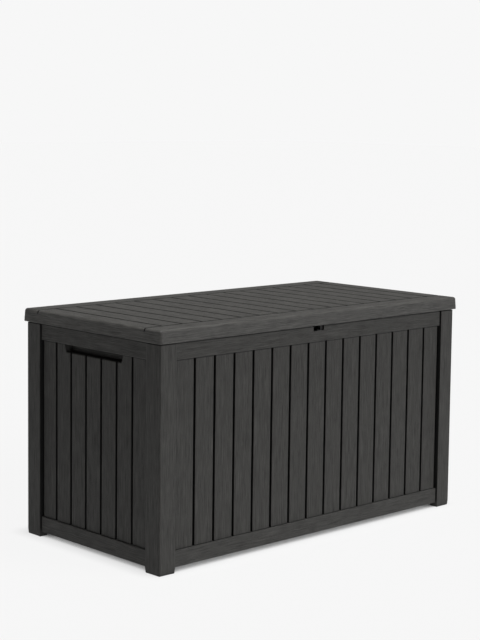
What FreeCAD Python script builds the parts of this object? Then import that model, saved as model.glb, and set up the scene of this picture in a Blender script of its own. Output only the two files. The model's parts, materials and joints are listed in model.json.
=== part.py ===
"""Deck storage box: a moulded resin chest with plank-look walls, and a hinged lid on two gas struts.

Frame: X along the length, Y front (-) to rear (+), Z up, origin on the ground under the middle of the box.
All sizes are in millimetres.
"""

import FreeCAD, Part
import math
import os

from FreeCAD import Rotation, Vector

# ---- driving dimensions -------------------------------------------------------------------------
length = 1180.0  # over the lid, along X
depth = 590.0  # over the lid, along Y
height = 640.0  # ground to the top of the lid

lid_height = 36.0  # top of the lid to the lower edge of its skirt
lid_overhang = 9.0  # lid edge beyond the body, all round
lid_gap = 3.0  # shadow gap between the skirt and the top of the body
wall = 3.0  # general moulded wall
clearance = 0.3  # between neighbouring parts that do not touch
bore_clearance = 0.05  # radial, between a screw or pin and its hole

post_front = 54.0  # width of a corner post on the long face
post_side = 58.0  # width of a corner post on the short face
wall_depth = 28.0  # total thickness of the box wall, post face to inside face
foot_height = 14.0  # ground to the underside of the bottom rail
rail_height = 44.0
rail_recess = 4.5  # rail face behind the post face
plank_recess = 9.0  # plank face behind the post face
panel_seam = 3.0  # visible joint between a rail end and its post
lip_height = 11.0  # rain lip standing on the inner edge of the body

front_planks = 15
side_planks = 7
groove_width = 7.5  # opening between two planks
groove_depth = 10.0
edge_break = 1.2  # small chamfer on moulded edges
tongue_reach = 14.0  # panel tongue inside its post
end_gap = 7.0  # last plank to post
corner_screw_inset = 40.0  # outer corner screws from the rails

post_round = 3.5
lid_round = 6.0
lid_skin = 3.5
lid_groove_width = 6.0
lid_groove_floor = 5.0  # the same groove at its floor
lid_groove_depth = 3.0
outlet_length = 14.0  # rain outlets at the ends of the lid's long grooves
outlet_depth = 9.0
outlet_reach = 1.0  # how far the tools for grooves and outlets start outside the lid
lid_border = 67.0  # width of the long border boards of the lid
lid_rib_margin = 2.0  # stiffening rib beyond each side of the groove above it
lid_boss_radius = 5.0
lid_boss_inset = 28.0  # lid screws inboard of the long grooves
lid_screw_reach = 14.0
lid_screw_depth = 16.0  # pilot hole of a lid screw

liner_rim_inset = 6.0  # upper rim of the liner inside its edge
liner_rib_height = 6.0
liner_rib_width = 2.5
liner_rib_inset = 22.0  # lower ribs inside the box's inner face
liner_rib_rows = 7
lift_radius = 4.5  # blind bosses on the liner for the hinge, strut and lock screws
lift_height = 12.0
lift_screw_reach = 10.0

floor_thickness = 4.0
floor_ledge_z = 25.0
floor_ledge_width = 12.0
floor_rib_depth = 9.0
floor_rib_inset = 2.0  # floor ribs inside the ledges
floor_groove_width = 4.0
floor_groove_depth = 1.5
floor_groove_margin = 20.0  # floor grooves stop short of the walls

grip_top_width = 253.0  # finger opening under the top rail of each short wall
grip_bottom_width = 235.0
grip_height = 22.0
grip_lip = 9.0  # thickness of the rail that the fingers hook behind
grip_rise = 18.0  # how far the pocket rises behind that rail
grip_depth = 31.0  # pocket back face, behind the post face
grip_end_room = 8.0  # pocket beyond the lower corners of the mouth

lock_width = 42.0  # notch in the front rail for a padlock
lock_height = 13.5
lock_depth = 17.5
ear_thickness = 3.5
ear_width = 15.0
ear_gap = 1.0
ear_offset = 7.0  # left face of the fixed ear, right of the middle
padlock_radius = 4.0
padlock_drop = 4.5  # hole centre below the top of the rail
ear_inset = 1.0  # ears behind the face of the rail
ear_round = 2.0
ear_rise = 1.5  # fixed ear above the top of the rail
ear_foot = 2.0  # thickness of the fixed ear's foot
ear_foot_reach = 11.0  # foot beyond the ear, towards the middle
ear_screw_offset = 5.0
ear_screw_reach = 5.0
tongue_plate = 3.0  # thickness of the tongue's mounting plate
tongue_plate_half = 20.0
tongue_lift = 1.0  # tongue above the floor of the notch
tongue_screw_spread = 14.0

hinge_width = 70.0
knuckle_radius = 5.0
hinge_pin_radius = 2.5
hinge_leaf = 3.0
hinge_leaf_height = 36.0
hinge_flange = 22.0
knuckle_gap = 0.4
hinge_drop = 3.0  # pin axis below the top of the body
hinge_back = 3.5  # pin axis behind the rear post faces
hinge_inset = 105.4  # middle of an outer hinge from the edge of its post
hinge_screw_spread = 24.0
hinge_screw_rise = 10.0  # body screws above the lower edge of the leaf
hinge_screw_reach = 7.0
hinge_brace = 4.0
pin_head_height = 1.5
pin_tail = 2.0  # pin beyond its last knuckle

strut_arm = 250.0  # pin axis to either strut ball
strut_closed_angle = 68.0  # between those two arms with the lid shut
strut_top_drop = 10.0  # upper ball below the pin axis, lid shut
strut_inset = 21.0  # strut centre line inside the short wall's inner face
tube_radius = 9.0
tube_wall = 1.2
tube_start = 16.0  # lower ball to tube
tube_length = 240.0
tube_end = 3.0  # closed end of the tube
rod_radius = 4.0
rod_clearance = 0.1
piston_length = 5.0
piston_start = 22.0
seal_length = 14.0
seal_collar = 2.0
seal_collar_step = 0.5  # collar inside the tube's outside
piston_clearance = 0.2
ball_radius = 5.0
socket_radius = 7.5
socket_clearance = 0.3
socket_reach = 12.0  # ball centre to the rod end
stud_radius = 3.0
bracket_plate = 3.0
bracket_half_width = 14.0
bracket_half_height = 26.0
bracket_margin = 4.0  # pad of the short wall beyond the bracket, all round
bracket_round = 5.0
bracket_screw_spread = 18.0
bracket_screw_reach = 8.0
lid_ear_offset = 9.0  # ear of the lid bracket inboard of the wall's inner face
lid_ear_top = 16.0  # half widths of that ear
lid_ear_tip = 7.0
lid_plate_half = 28.0  # plate of the lid bracket along Y
lid_plate_reach = 12.0  # plate beyond the strut's centre line
lid_plate_screw_shift = 2.0
lid_plate_screw_spread = 20.0

screw_radius = 2.0
screw_head_radius = 4.0
screw_head_height = 2.2
cross_width = 1.0
cross_depth = 1.1
overlap = 1.0  # how far fused pieces and cutting tools reach past a face

# ---- worked-out sizes ---------------------------------------------------------------------------
body_x = length / 2 - lid_overhang
body_y = depth / 2 - lid_overhang
lid_bottom = height - lid_height
body_top = lid_bottom - lid_gap
front_zone = body_x - post_front  # half the opening between the front posts
side_zone = body_y - post_side
inner_x = body_x - wall_depth
inner_y = body_y - wall_depth
plank_pitch = 2 * front_zone / front_planks
liner_z = body_top + lip_height + clearance  # underside of the lid liner
slat_edge = depth / 2 - lid_border  # centre line of the lid's long grooves
hinge_y = body_y + hinge_back
hinge_z = body_top - hinge_drop
hinge_stations = [side * (front_zone - hinge_inset) for side in (-1, 0, 1)]
plank_edges = [-front_zone + k * plank_pitch for k in range(front_planks + 1)]
plank_middles = [edge + plank_pitch / 2 for edge in plank_edges[:-1]]
rib_lines = plank_middles[1::2]  # ribs of the floor and the lid
boss_lines = plank_middles[::2]  # lid screws, between those ribs
rail_inner_bottom = foot_height + rail_height
rail_inner_top = body_top - rail_height

ear_y = -body_y + rail_recess + ear_inset  # front edge of the padlock ears
notch_floor = body_top - lock_height
tube_top = tube_start + tube_length
ORIGIN = Vector(0, 0, 0)
X_AXIS, Y_AXIS, Z_AXIS = Vector(1, 0, 0), Vector(0, 1, 0), Vector(0, 0, 1)


# ---- small helpers ------------------------------------------------------------------------------
def block(x0, x1, y0, y1, z0, z1):
    """Box between two corners."""
    return Part.makeBox(x1 - x0, y1 - y0, z1 - z0, Vector(x0, y0, z0))


def rod_between(radius, start, end):
    """Cylinder from one point to another."""
    run = end - start
    return Part.makeCylinder(radius, run.Length, start, run)


def prism(points, direction):
    """Closed outline swept along a direction."""
    return Part.Face(Part.makePolygon([*points, points[0]])).extrude(direction)


def fuse(shapes):
    """One clean solid from overlapping ones."""
    return shapes[0].multiFuse(shapes[1:]).removeSplitter()


def mirrored(shape):
    """The same piece for the other end of the box."""
    return shape.mirror(ORIGIN, X_AXIS)


def edges_where(shape, test):
    return [e for e in shape.Edges if test(e)]


def is_upright(edge):
    run = edge.Vertexes[-1].Point - edge.Vertexes[0].Point
    return math.hypot(run.x, run.y) < 1e-6 < abs(run.z)


def lies_at_height(edge, z):
    box = edge.BoundBox
    return abs(box.ZMin - z) < 1e-6 and abs(box.ZMax - z) < 1e-6


# ---- screws -------------------------------------------------------------------------------------
def screw(seat, direction, reach):
    """Pan-head screw whose head rests at seat; direction points along the shank."""
    head = Part.makeCylinder(screw_head_radius, screw_head_height)
    rim = edges_where(head, lambda e: lies_at_height(e, screw_head_height))
    head = head.makeFillet(screw_head_height * 0.4, rim)
    shank = Part.makeCylinder(screw_radius, reach, ORIGIN, -Z_AXIS)
    shape = fuse([head, shank])
    half = screw_head_radius * 0.6
    slot_floor = screw_head_height - cross_depth
    slot = block(-half, half, -cross_width / 2, cross_width / 2, slot_floor, screw_head_height)
    for turn in (0, 90):
        bar = slot.copy()
        bar.rotate(ORIGIN, Z_AXIS, turn)
        shape = shape.cut(bar)
    shape.Placement = FreeCAD.Placement(seat, Rotation(Z_AXIS, -direction))
    return shape


def screws(holes, reach):
    return [screw(seat, direction, reach) for seat, direction in holes]


def drill(shape, holes, reach):
    """Holes for screws, given as (seat, direction) pairs."""
    for seat, direction in holes:
        start, end = seat - direction * overlap, seat + direction * reach
        shape = shape.cut(rod_between(screw_radius + bore_clearance, start, end))
    return shape


# ---- wall panels, in their own frame: x along the wall, y inwards from the post face, z up -------
def plank_outline(half, planks):
    """Cross-section of the plank skin: flat planks with square grooves, ending in the post tongues."""
    pitch = 2 * half / planks
    groove_floor = plank_recess + groove_depth
    start = half - end_gap
    outside = [(-half - tongue_reach, groove_floor), (-start, groove_floor)]
    outside += [(-start, plank_recess + edge_break), (-start + edge_break, plank_recess)]
    inside = [(-half - tongue_reach, groove_floor + wall), (-start + wall, groove_floor + wall)]
    inside += [(-start + wall, plank_recess + wall)]
    for k in range(1, planks):
        centre = -half + k * pitch
        reach = groove_width / 2
        outside += [(centre - reach - edge_break, plank_recess), (centre - reach, plank_recess + edge_break)]
        outside += [(centre - reach, groove_floor), (centre + reach, groove_floor)]
        outside += [(centre + reach, plank_recess + edge_break), (centre + reach + edge_break, plank_recess)]
        inside += [(centre - reach - wall, plank_recess + wall), (centre - reach - wall, groove_floor + wall)]
        inside += [(centre + reach + wall, groove_floor + wall), (centre + reach + wall, plank_recess + wall)]
    outside += [(start - edge_break, plank_recess), (start, plank_recess + edge_break)]
    outside += [(start, groove_floor), (half + tongue_reach, groove_floor)]
    inside += [(start - wall, plank_recess + wall), (start - wall, groove_floor + wall)]
    inside += [(half + tongue_reach, groove_floor + wall)]
    return outside + inside[::-1]


def rail(half, outline, hollow):
    """Tube along the wall from two outlines in depth and height."""
    run = Vector(2 * half, 0, 0)
    outer = prism([Vector(-half, y, z) for y, z in outline], run)
    inner = prism([Vector(-half, y, z) for y, z in hollow], run)
    return outer.cut(inner)


def hollow_of(z0, z1):
    y0, y1 = rail_recess + wall, wall_depth - wall
    return [(y0, z0 + wall), (y1, z0 + wall), (y1, z1 - wall), (y0, z1 - wall)]


def top_rail(half):
    z0, z1 = rail_inner_top, body_top
    face, inner, lip_top = rail_recess, wall_depth, body_top + lip_height
    outline = [(face + edge_break, z0), (inner, z0), (inner, lip_top), (inner - wall, lip_top)]
    outline += [(inner - wall, z1), (face + edge_break, z1), (face, z1 - edge_break), (face, z0 + edge_break)]
    return rail(half, outline, hollow_of(z0, z1))


def bottom_rail(half):
    z0, z1 = foot_height, rail_inner_bottom
    face, inner = rail_recess, wall_depth
    ledge, ledge_under = inner + floor_ledge_width, floor_ledge_z - wall
    outline = [(face + edge_break, z0), (inner, z0), (inner, ledge_under), (ledge, ledge_under)]
    outline += [(ledge, floor_ledge_z), (inner, floor_ledge_z), (inner, z1), (face + edge_break, z1)]
    outline += [(face, z1 - edge_break), (face, z0 + edge_break)]
    return rail(half, outline, hollow_of(z0, z1))


def wall_panel(half, planks):
    """One wall: plank skin, two hollow rails, and stiffening ribs on the inside."""
    skin_low, skin_high = rail_inner_bottom - wall, rail_inner_top + wall
    outline = [Vector(x, y, skin_low) for x, y in plank_outline(half, planks)]
    skin = prism(outline, Vector(0, 0, skin_high - skin_low))
    rail_half = half - panel_seam
    parts = [skin, top_rail(rail_half), bottom_rail(rail_half)]
    back = plank_recess + groove_depth + wall
    pitch = 2 * half / planks
    for k in range(2, planks, 2):
        centre = -half + k * pitch
        x0, x1 = centre - wall / 2, centre + wall / 2
        parts.append(block(x0, x1, back - wall, wall_depth, skin_low, skin_high))
    z0 = (rail_inner_bottom + rail_inner_top - wall) / 2
    start = half - end_gap - wall
    parts.append(block(-start, start, plank_recess + wall / 2, wall_depth, z0, z0 + wall))
    return fuse(parts)


def corner_screw_seats(half):
    """Screws through the inside of the posts into the panel tongues, in the wall's own frame."""
    across = half + tongue_reach / 2
    low, high = rail_inner_bottom + corner_screw_inset, rail_inner_top - corner_screw_inset
    heights = [low, (low + high) / 2, high]
    return [Vector(side * across, wall_depth, z) for side in (-1, 1) for z in heights]


def to_front(shape):
    shape.translate(Vector(0, -body_y, 0))
    return shape


def to_rear(shape):
    shape.rotate(ORIGIN, Z_AXIS, 180)
    shape.translate(Vector(0, body_y, 0))
    return shape


def to_left(shape):
    shape.rotate(ORIGIN, Z_AXIS, -90)
    shape.translate(Vector(-body_x, 0, 0))
    return shape


def to_right(shape):
    shape.rotate(ORIGIN, Z_AXIS, 90)
    shape.translate(Vector(body_x, 0, 0))
    return shape


def drilled_wall(half, planks):
    holes = [(seat, -Y_AXIS) for seat in corner_screw_seats(half)]
    return drill(wall_panel(half, planks), holes, wall_depth - plank_recess)


def front_panel():
    """Long wall with the padlock notch in its top rail."""
    half, back = lock_width / 2, rail_recess + lock_depth
    panel = drilled_wall(front_zone, front_planks)
    lining = block(-half - wall, half + wall, rail_recess, back + wall, notch_floor - wall, body_top)
    notch = block(-half, half, rail_recess - wall, back, notch_floor, body_top + wall)
    panel = fuse([panel, lining]).cut(notch)
    return drill(to_front(panel), lock_ear_screws(), lock_height)


def rear_panel():
    """Long wall that carries the hinges."""
    panel = to_rear(drilled_wall(front_zone, front_planks))
    return drill(panel, hinge_body_screws(), rail_recess + wall + hinge_leaf)


def side_panel():
    """Short left wall with its finger grip under the rail and a pad for the strut."""
    panel = drilled_wall(side_zone, side_planks)
    top, low = rail_inner_top, rail_inner_top - grip_height
    lip_back = rail_recess + grip_lip
    half = grip_bottom_width / 2 + grip_end_room
    high, back = top + grip_rise, grip_depth + wall
    cup = block(-half - wall, half + wall, lip_back - wall, back, low - wall, high + wall)
    space = block(-half, half, lip_back, grip_depth, low, high)
    upper, lower = grip_top_width / 2, grip_bottom_width / 2
    mouth = [Vector(-upper, 0, top), Vector(upper, 0, top), Vector(lower, 0, low), Vector(-lower, 0, low)]
    mouth = prism(mouth, Vector(0, lip_back + wall, 0))
    sides = block(-upper - wall, upper + wall, plank_recess, lip_back, low - wall, top)
    panel = fuse([panel, cup, sides]).cut(space).cut(mouth)
    panel = to_left(fuse([panel, strut_pad()]))
    return drill(panel, strut_wall_screws(), wall_depth / 2)


def strut_pad():
    """Box on the inside of the short wall that carries the lower strut bracket; open underneath."""
    along = -strut_low().y
    z = strut_low().z
    half, tall = bracket_half_width + bracket_margin, bracket_half_height + bracket_margin
    pad = block(along - half, along + half, plank_recess + wall / 2, wall_depth, z - tall, z + tall)
    y0, y1, half = plank_recess + wall, wall_depth - wall, half - wall
    return pad.cut(block(along - half, along + half, y0, y1, z - tall, z + tall - wall))


# ---- corner posts ---------------------------------------------------------------------------------
def post_outline(inset, far_inset):
    """L-shaped outline with its outer corner at the origin, legs along +x and +y."""
    low, thick = inset, wall_depth - inset
    ends = post_front - far_inset, post_side - far_inset
    return [(low, low), (ends[0], low), (ends[0], thick), (thick, thick), (thick, ends[1]), (low, ends[1])]


def upright_edges_at(shape, *places):
    """Upright edges that stand on the given (x, y) places."""
    def stands_on_one(edge):
        foot = edge.Vertexes[0]
        return any(math.hypot(foot.X - x, foot.Y - y) < 1e-6 for x, y in places)
    return edges_where(shape, lambda e: is_upright(e) and stands_on_one(e))


def corner_post():
    """Hollow front-left post with its foot, its rain lip and the slots that take the panel tongues."""
    outer = prism([Vector(x, y, 0) for x, y in post_outline(0, 0)], Vector(0, 0, body_top))
    outer = outer.makeFillet(post_round, upright_edges_at(outer, (0, 0)))
    outer = outer.makeFillet(edge_break, upright_edges_at(outer, (post_front, 0), (0, post_side)))
    outer = outer.makeFillet(wall * 0.8, edges_where(outer, lambda e: lies_at_height(e, 0)))
    inner = [Vector(x, y, wall) for x, y in post_outline(wall, wall)]
    inner = prism(inner, Vector(0, 0, body_top - 2 * wall))
    post = outer.cut(inner)
    low, high = plank_recess + groove_depth - clearance, plank_recess + groove_depth + wall + clearance
    z0, z1 = rail_inner_bottom - 2 * wall, rail_inner_top + 2 * wall
    post = post.cut(block(post_front - 2 * wall, post_front + wall, low, high, z0, z1))
    post = post.cut(block(low, high, post_side - 2 * wall, post_side + wall, z0, z1))
    rim = wall_depth - wall
    lip = [(post_front, rim), (rim, rim), (rim, post_side), (wall_depth, post_side)]
    lip += [(wall_depth, wall_depth), (post_front, wall_depth)]
    post = fuse([post, prism([Vector(x, y, body_top) for x, y in lip], Vector(0, 0, lip_height))])
    for seat in corner_screw_seats(0):
        if seat.x < 0:
            continue
        on_long = Vector(post_front - tongue_reach / 2, wall_depth, seat.z)
        on_short = Vector(wall_depth, post_side - tongue_reach / 2, seat.z)
        post = drill(post, [(on_long, -Y_AXIS), (on_short, -X_AXIS)], wall + overlap)
    post.translate(Vector(-body_x, -body_y, 0))
    return post


def corner_screws():
    """All the screws that hold the walls to the posts."""
    reach = wall_depth - plank_recess - groove_depth + clearance  # tips just through the tongues
    made = []
    for half, movers in ((front_zone, (to_front, to_rear)), (side_zone, (to_left, to_right))):
        for mover in movers:
            for seat in corner_screw_seats(half):
                made.append(mover(screw(seat, -Y_AXIS, reach)))
    return made


# ---- floor ----------------------------------------------------------------------------------------
def floor_panel():
    """Ribbed floor resting on the ledges of the bottom rails."""
    x, y = inner_x - clearance, inner_y - clearance
    parts = [block(-x, x, -y, y, floor_ledge_z, floor_ledge_z + floor_thickness)]
    rib_x = inner_x - floor_ledge_width - floor_rib_inset
    rib_y = inner_y - floor_ledge_width - floor_rib_inset
    low, high = floor_ledge_z - floor_rib_depth, floor_ledge_z + overlap
    for centre in rib_lines:
        parts.append(block(centre - wall / 2, centre + wall / 2, -rib_y, rib_y, low, high))
    for along in (-rib_y, -rib_y / 2, 0, rib_y / 2, rib_y):
        parts.append(block(-rib_x, rib_x, along - wall / 2, along + wall / 2, low, high))
    floor = fuse(parts)
    top, start = floor_ledge_z + floor_thickness, -inner_y + floor_groove_margin
    half = floor_groove_width / 2
    for centre in plank_edges:
        outline = [Vector(centre - half, start, top), Vector(centre + half, start, top)]
        outline.append(Vector(centre, start, top - floor_groove_depth))
        floor = floor.cut(prism(outline, Vector(0, -2 * start, 0)))
    return floor


# ---- lid --------------------------------------------------------------------------------------------
def lid_boss_places():
    """Screws that hold the liner up to the shell, on the slat centres."""
    across = slat_edge - lid_boss_inset
    return [Vector(x, side * across, liner_z) for x in boss_lines for side in (-1, 1)]


def lid_groove(start, run):
    """Tool for one tapered groove in the top of the lid, along run from start."""
    aside = run.cross(Z_AXIS).normalize()
    top, floor, deep = aside * (lid_groove_width / 2), aside * (lid_groove_floor / 2), Vector(0, 0, -lid_groove_depth)
    return prism([start - top, start + top, start + floor + deep, start - floor + deep], run)


def lid_shell():
    """Outer lid: a tray with plank-look slats between two long border boards, open underneath."""
    x, y = length / 2, depth / 2
    outer = block(-x, x, -y, y, lid_bottom, height)
    outer = outer.makeFillet(lid_round, edges_where(outer, is_upright))
    outer = outer.makeFillet(lid_round * 0.9, edges_where(outer, lambda e: lies_at_height(e, height)))
    outer = outer.makeFillet(wall * 0.4, edges_where(outer, lambda e: lies_at_height(e, lid_bottom)))
    ceiling = height - lid_skin
    parts = [outer.cut(block(-x + wall, x - wall, -y + wall, y - wall, lid_bottom - overlap, ceiling))]
    rib = lid_groove_width / 2 + lid_rib_margin
    low, high = ceiling - lid_groove_depth, ceiling + overlap
    for centre in plank_edges:
        parts.append(block(centre - rib, centre + rib, -slat_edge, slat_edge, low, high))
    for edge in (-slat_edge, slat_edge):
        parts.append(block(-x + wall, x - wall, edge - rib, edge + rib, low, high))
        for end in (-1, 1):
            near, far = sorted((end * (x - outlet_reach), end * (x - outlet_length - wall)))
            parts.append(block(near, far, edge - rib, edge + rib, height - outlet_depth - wall, high))
    foot = Vector(0, 0, wall + clearance)
    for place in lid_boss_places():
        tall = ceiling + clearance - place.z - foot.z
        parts.append(Part.makeCylinder(lid_boss_radius, tall, place + foot))
    shell = fuse(parts)
    half = lid_groove_width / 2
    for centre in plank_edges:
        shell = shell.cut(lid_groove(Vector(centre, -slat_edge, height), Vector(0, 2 * slat_edge, 0)))
    for edge in (-slat_edge, slat_edge):
        shell = shell.cut(lid_groove(Vector(-x, edge, height), Vector(length, 0, 0)))
        for end in (-1, 1):
            near, far = sorted((end * (x + outlet_reach), end * (x - outlet_length)))
            outlet = block(near, far, edge - half, edge + half, height - outlet_depth, height + overlap)
            shell = shell.cut(outlet)
    return drill(shell, [(place, Z_AXIS) for place in lid_boss_places()], lid_screw_depth)


def lid_liner():
    """Inner lid: closes the shell from below, ribbed on both sides."""
    x, y = length / 2 - wall - clearance, depth / 2 - wall - clearance
    top = height - lid_skin - lid_groove_depth - clearance
    plate = liner_z + wall
    parts = [block(-x, x, -y, y, liner_z, plate)]
    rim_x, rim_y = length / 2 - outlet_length - wall - clearance, y - liner_rim_inset
    for side in (-1, 1):
        near, far = sorted((side * rim_y, side * (rim_y - wall)))
        parts.append(block(-rim_x, rim_x, near, far, plate - overlap, top))
        near, far = sorted((side * rim_x, side * (rim_x - wall)))
        parts.append(block(near, far, -rim_y, rim_y, plate - overlap, top))
    rib_x, rib_y, half = rib_lines[-1], inner_y - liner_rib_inset, liner_rib_width / 2
    low, high = liner_z - liner_rib_height, liner_z + overlap
    for centre in rib_lines:
        parts.append(block(centre - wall / 2, centre + wall / 2, -rim_y, rim_y, plate - overlap, top))
        parts.append(block(centre - half, centre + half, -rib_y, rib_y, low, high))
    for row in range(liner_rib_rows):
        centre = rib_y * (2 * row / (liner_rib_rows - 1) - 1)
        parts.append(block(-rib_x, rib_x, centre - half, centre + half, low, high))
    lifts = [seat for seat, _ in hinge_lid_screws() + strut_lid_screws() + lock_tongue_screws()]
    for seat in lifts:
        parts.append(Part.makeCylinder(lift_radius, lift_height, Vector(seat.x, seat.y, plate - overlap)))
    holes = [(Vector(p.x, p.y, liner_z - hinge_leaf), Z_AXIS) for p in lid_boss_places() + lifts]
    return drill(fuse(parts), holes, lid_screw_reach)


def lid_screws():
    return [screw(place, Z_AXIS, lid_screw_reach) for place in lid_boss_places()]


# ---- hinges -----------------------------------------------------------------------------------------
def hinge_body_screws():
    """Two screws per hinge through the body leaf into the rear rail, heads at the back."""
    seat_y = body_y - rail_recess + hinge_leaf
    z = hinge_z - hinge_leaf_height + hinge_screw_rise
    spread = (-hinge_screw_spread, hinge_screw_spread)
    return [(Vector(x + dx, seat_y, z), -Y_AXIS) for x in hinge_stations for dx in spread]


def hinge_lid_screws():
    """Two screws per hinge up through the lid flange into the liner."""
    seat_y = depth / 2 - wall - hinge_leaf / 2 - hinge_flange / 2
    z = liner_z - hinge_leaf
    spread = (-hinge_screw_spread, hinge_screw_spread)
    return [(Vector(x + dx, seat_y, z), Z_AXIS) for x in hinge_stations for dx in spread]


def pin_bore(x, gap):
    """Tool for the pin's hole through one hinge, gap wider than the pin all round."""
    start = Vector(x - hinge_width / 2 - overlap, hinge_y, hinge_z)
    return Part.makeCylinder(hinge_pin_radius + gap, hinge_width + 2 * overlap, start, X_AXIS)


def knuckle(x0, x1, toward):
    """Round eye on the pin axis with a web to its leaf; toward is the far side of the leaf, in y."""
    axis = Vector(x0, hinge_y, hinge_z)
    eye = Part.makeCylinder(knuckle_radius, x1 - x0, axis, X_AXIS)
    near, far = sorted((toward, hinge_y))
    web = block(x0, x1, near, far, hinge_z - knuckle_radius, hinge_z + knuckle_radius)
    return eye, web


def hinge_bracket(x):
    """Body half of a hinge: leaf on the rear rail and the two outer knuckles."""
    face = body_y - rail_recess
    half = hinge_width / 2
    leaf = block(x - half, x + half, face, face + hinge_leaf, hinge_z - hinge_leaf_height, hinge_z)
    parts = [leaf]
    for x0, x1 in ((x - half, x - half / 2), (x + half / 2, x + half)):
        parts += knuckle(x0, x1, face)
    bracket = fuse(parts).cut(pin_bore(x, bore_clearance))
    return drill(bracket, hinge_body_screws(), 2 * hinge_leaf)


def hinge_arm(x):
    """Lid half of a hinge: middle knuckle, upright web inside the skirt, and the flange under the liner."""
    half = hinge_width / 4 - knuckle_gap
    back = depth / 2 - wall
    eye = Part.makeCylinder(knuckle_radius, 2 * half, Vector(x - half, hinge_y, hinge_z), X_AXIS)
    web = block(x - half, x + half, back - hinge_leaf, back, hinge_z, liner_z)
    flange_half = hinge_width / 2
    flange = block(x - flange_half, x + flange_half, back - hinge_flange, back, liner_z - hinge_leaf, liner_z)
    inner, under = back - hinge_leaf, liner_z - hinge_leaf
    brace = [Vector(x, inner, under), Vector(x, inner - hinge_brace, under)]
    brace.append(Vector(x, inner, hinge_z + knuckle_radius))
    arm = fuse([eye, web, flange, prism(brace, Vector(hinge_leaf, 0, 0))])
    return drill(arm.cut(pin_bore(x, 2 * bore_clearance)), hinge_lid_screws(), 2 * hinge_leaf)


def hinge_pin(x):
    """Steel pin with a flat head at its left end."""
    start = Vector(x - hinge_width / 2, hinge_y, hinge_z)
    shaft = Part.makeCylinder(hinge_pin_radius, hinge_width + pin_tail, start, X_AXIS)
    head = Part.makeCylinder(knuckle_radius * 0.8, pin_head_height, start - X_AXIS * pin_head_height, X_AXIS)
    return fuse([shaft, head])


# ---- gas struts, built on the left and mirrored -------------------------------------------------------
def strut_x():
    return -inner_x + strut_inset


def strut_high():
    """Upper ball centre with the lid shut."""
    drop = math.asin(strut_top_drop / strut_arm)
    return Vector(strut_x(), hinge_y - strut_arm * math.cos(drop), hinge_z - strut_top_drop)


def strut_low():
    """Lower ball centre, as far from the pin axis as the upper one: both ends turn half as fast as the lid."""
    turn = math.asin(strut_top_drop / strut_arm) + math.radians(strut_closed_angle)
    return Vector(strut_x(), hinge_y - strut_arm * math.cos(turn), hinge_z - strut_arm * math.sin(turn))


def along_strut(distance):
    run = (strut_high() - strut_low()).normalize()
    return strut_low() + run * distance


def closed_length():
    return (strut_high() - strut_low()).Length


def ball_socket(centre, toward):
    """Moulded socket around a ball, with its neck pointing along the strut."""
    run = (toward - centre).normalize()
    body = Part.makeSphere(socket_radius, centre)
    neck = rod_between(socket_radius * 0.8, centre, centre + run * socket_reach)
    socket = fuse([body, neck])
    space = Part.makeSphere(ball_radius + socket_clearance, centre)
    mouth = rod_between(ball_radius + socket_clearance, centre, centre - X_AXIS * socket_radius)
    return socket.cut(space).cut(mouth)


def strut_cylinder():
    """Pressure tube with a closed lower end and a neck screwed into the socket."""
    start, end = along_strut(tube_start), along_strut(tube_top)
    tube = rod_between(tube_radius, start, end)
    bore = rod_between(tube_radius - tube_wall, along_strut(tube_start + tube_end), end)
    neck = rod_between(rod_radius, along_strut(socket_reach), along_strut(tube_start + overlap))
    return fuse([tube.cut(bore), neck])


def strut_seal():
    """Guide and seal that closes the tube around the rod."""
    start, end = along_strut(tube_top - seal_length), along_strut(tube_top)
    top = along_strut(tube_top + seal_collar)
    seal = rod_between(tube_radius - tube_wall, start, end)
    collar = rod_between(tube_radius - seal_collar_step, end, top)
    return fuse([seal, collar]).cut(rod_between(rod_radius + rod_clearance, start, top))


def strut_rod():
    start = piston_start + piston_length
    return rod_between(rod_radius, along_strut(start), along_strut(closed_length() - socket_reach))


def strut_piston():
    radius = tube_radius - tube_wall - piston_clearance
    return rod_between(radius, along_strut(piston_start), along_strut(piston_start + piston_length))


def ball_stud(centre, length_out):
    """Ball on a shank that runs outwards to its bracket."""
    ball = Part.makeSphere(ball_radius, centre)
    return fuse([ball, rod_between(stud_radius, centre, centre - X_AXIS * length_out)])


def strut_wall_screws():
    seat = Vector(-inner_x + bracket_plate, strut_low().y, strut_low().z)
    return [(seat + Z_AXIS * dz, -X_AXIS) for dz in (-bracket_screw_spread, bracket_screw_spread)]


def strut_lid_screws():
    """Screws for the upper brackets at both ends of the lid."""
    x, y, z = -strut_x() - lid_plate_screw_shift, strut_high().y, liner_z - bracket_plate
    spread = (-lid_plate_screw_spread, lid_plate_screw_spread)
    return [(Vector(side * x, y + dy, z), Z_AXIS) for side in (-1, 1) for dy in spread]


def strut_wall_bracket():
    """Plate on the pad of the short wall."""
    low = strut_low()
    y0, y1 = low.y - bracket_half_width, low.y + bracket_half_width
    z0, z1 = low.z - bracket_half_height, low.z + bracket_half_height
    plate = block(-inner_x, -inner_x + bracket_plate, y0, y1, z0, z1)
    corners = edges_where(plate, lambda e: abs(e.Length - bracket_plate) < 1e-6)
    plate = plate.makeFillet(bracket_round, corners)
    plate = plate.cut(rod_between(stud_radius, low, Vector(-inner_x - overlap, low.y, low.z)))
    return drill(plate, strut_wall_screws(), 2 * bracket_plate)


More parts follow.
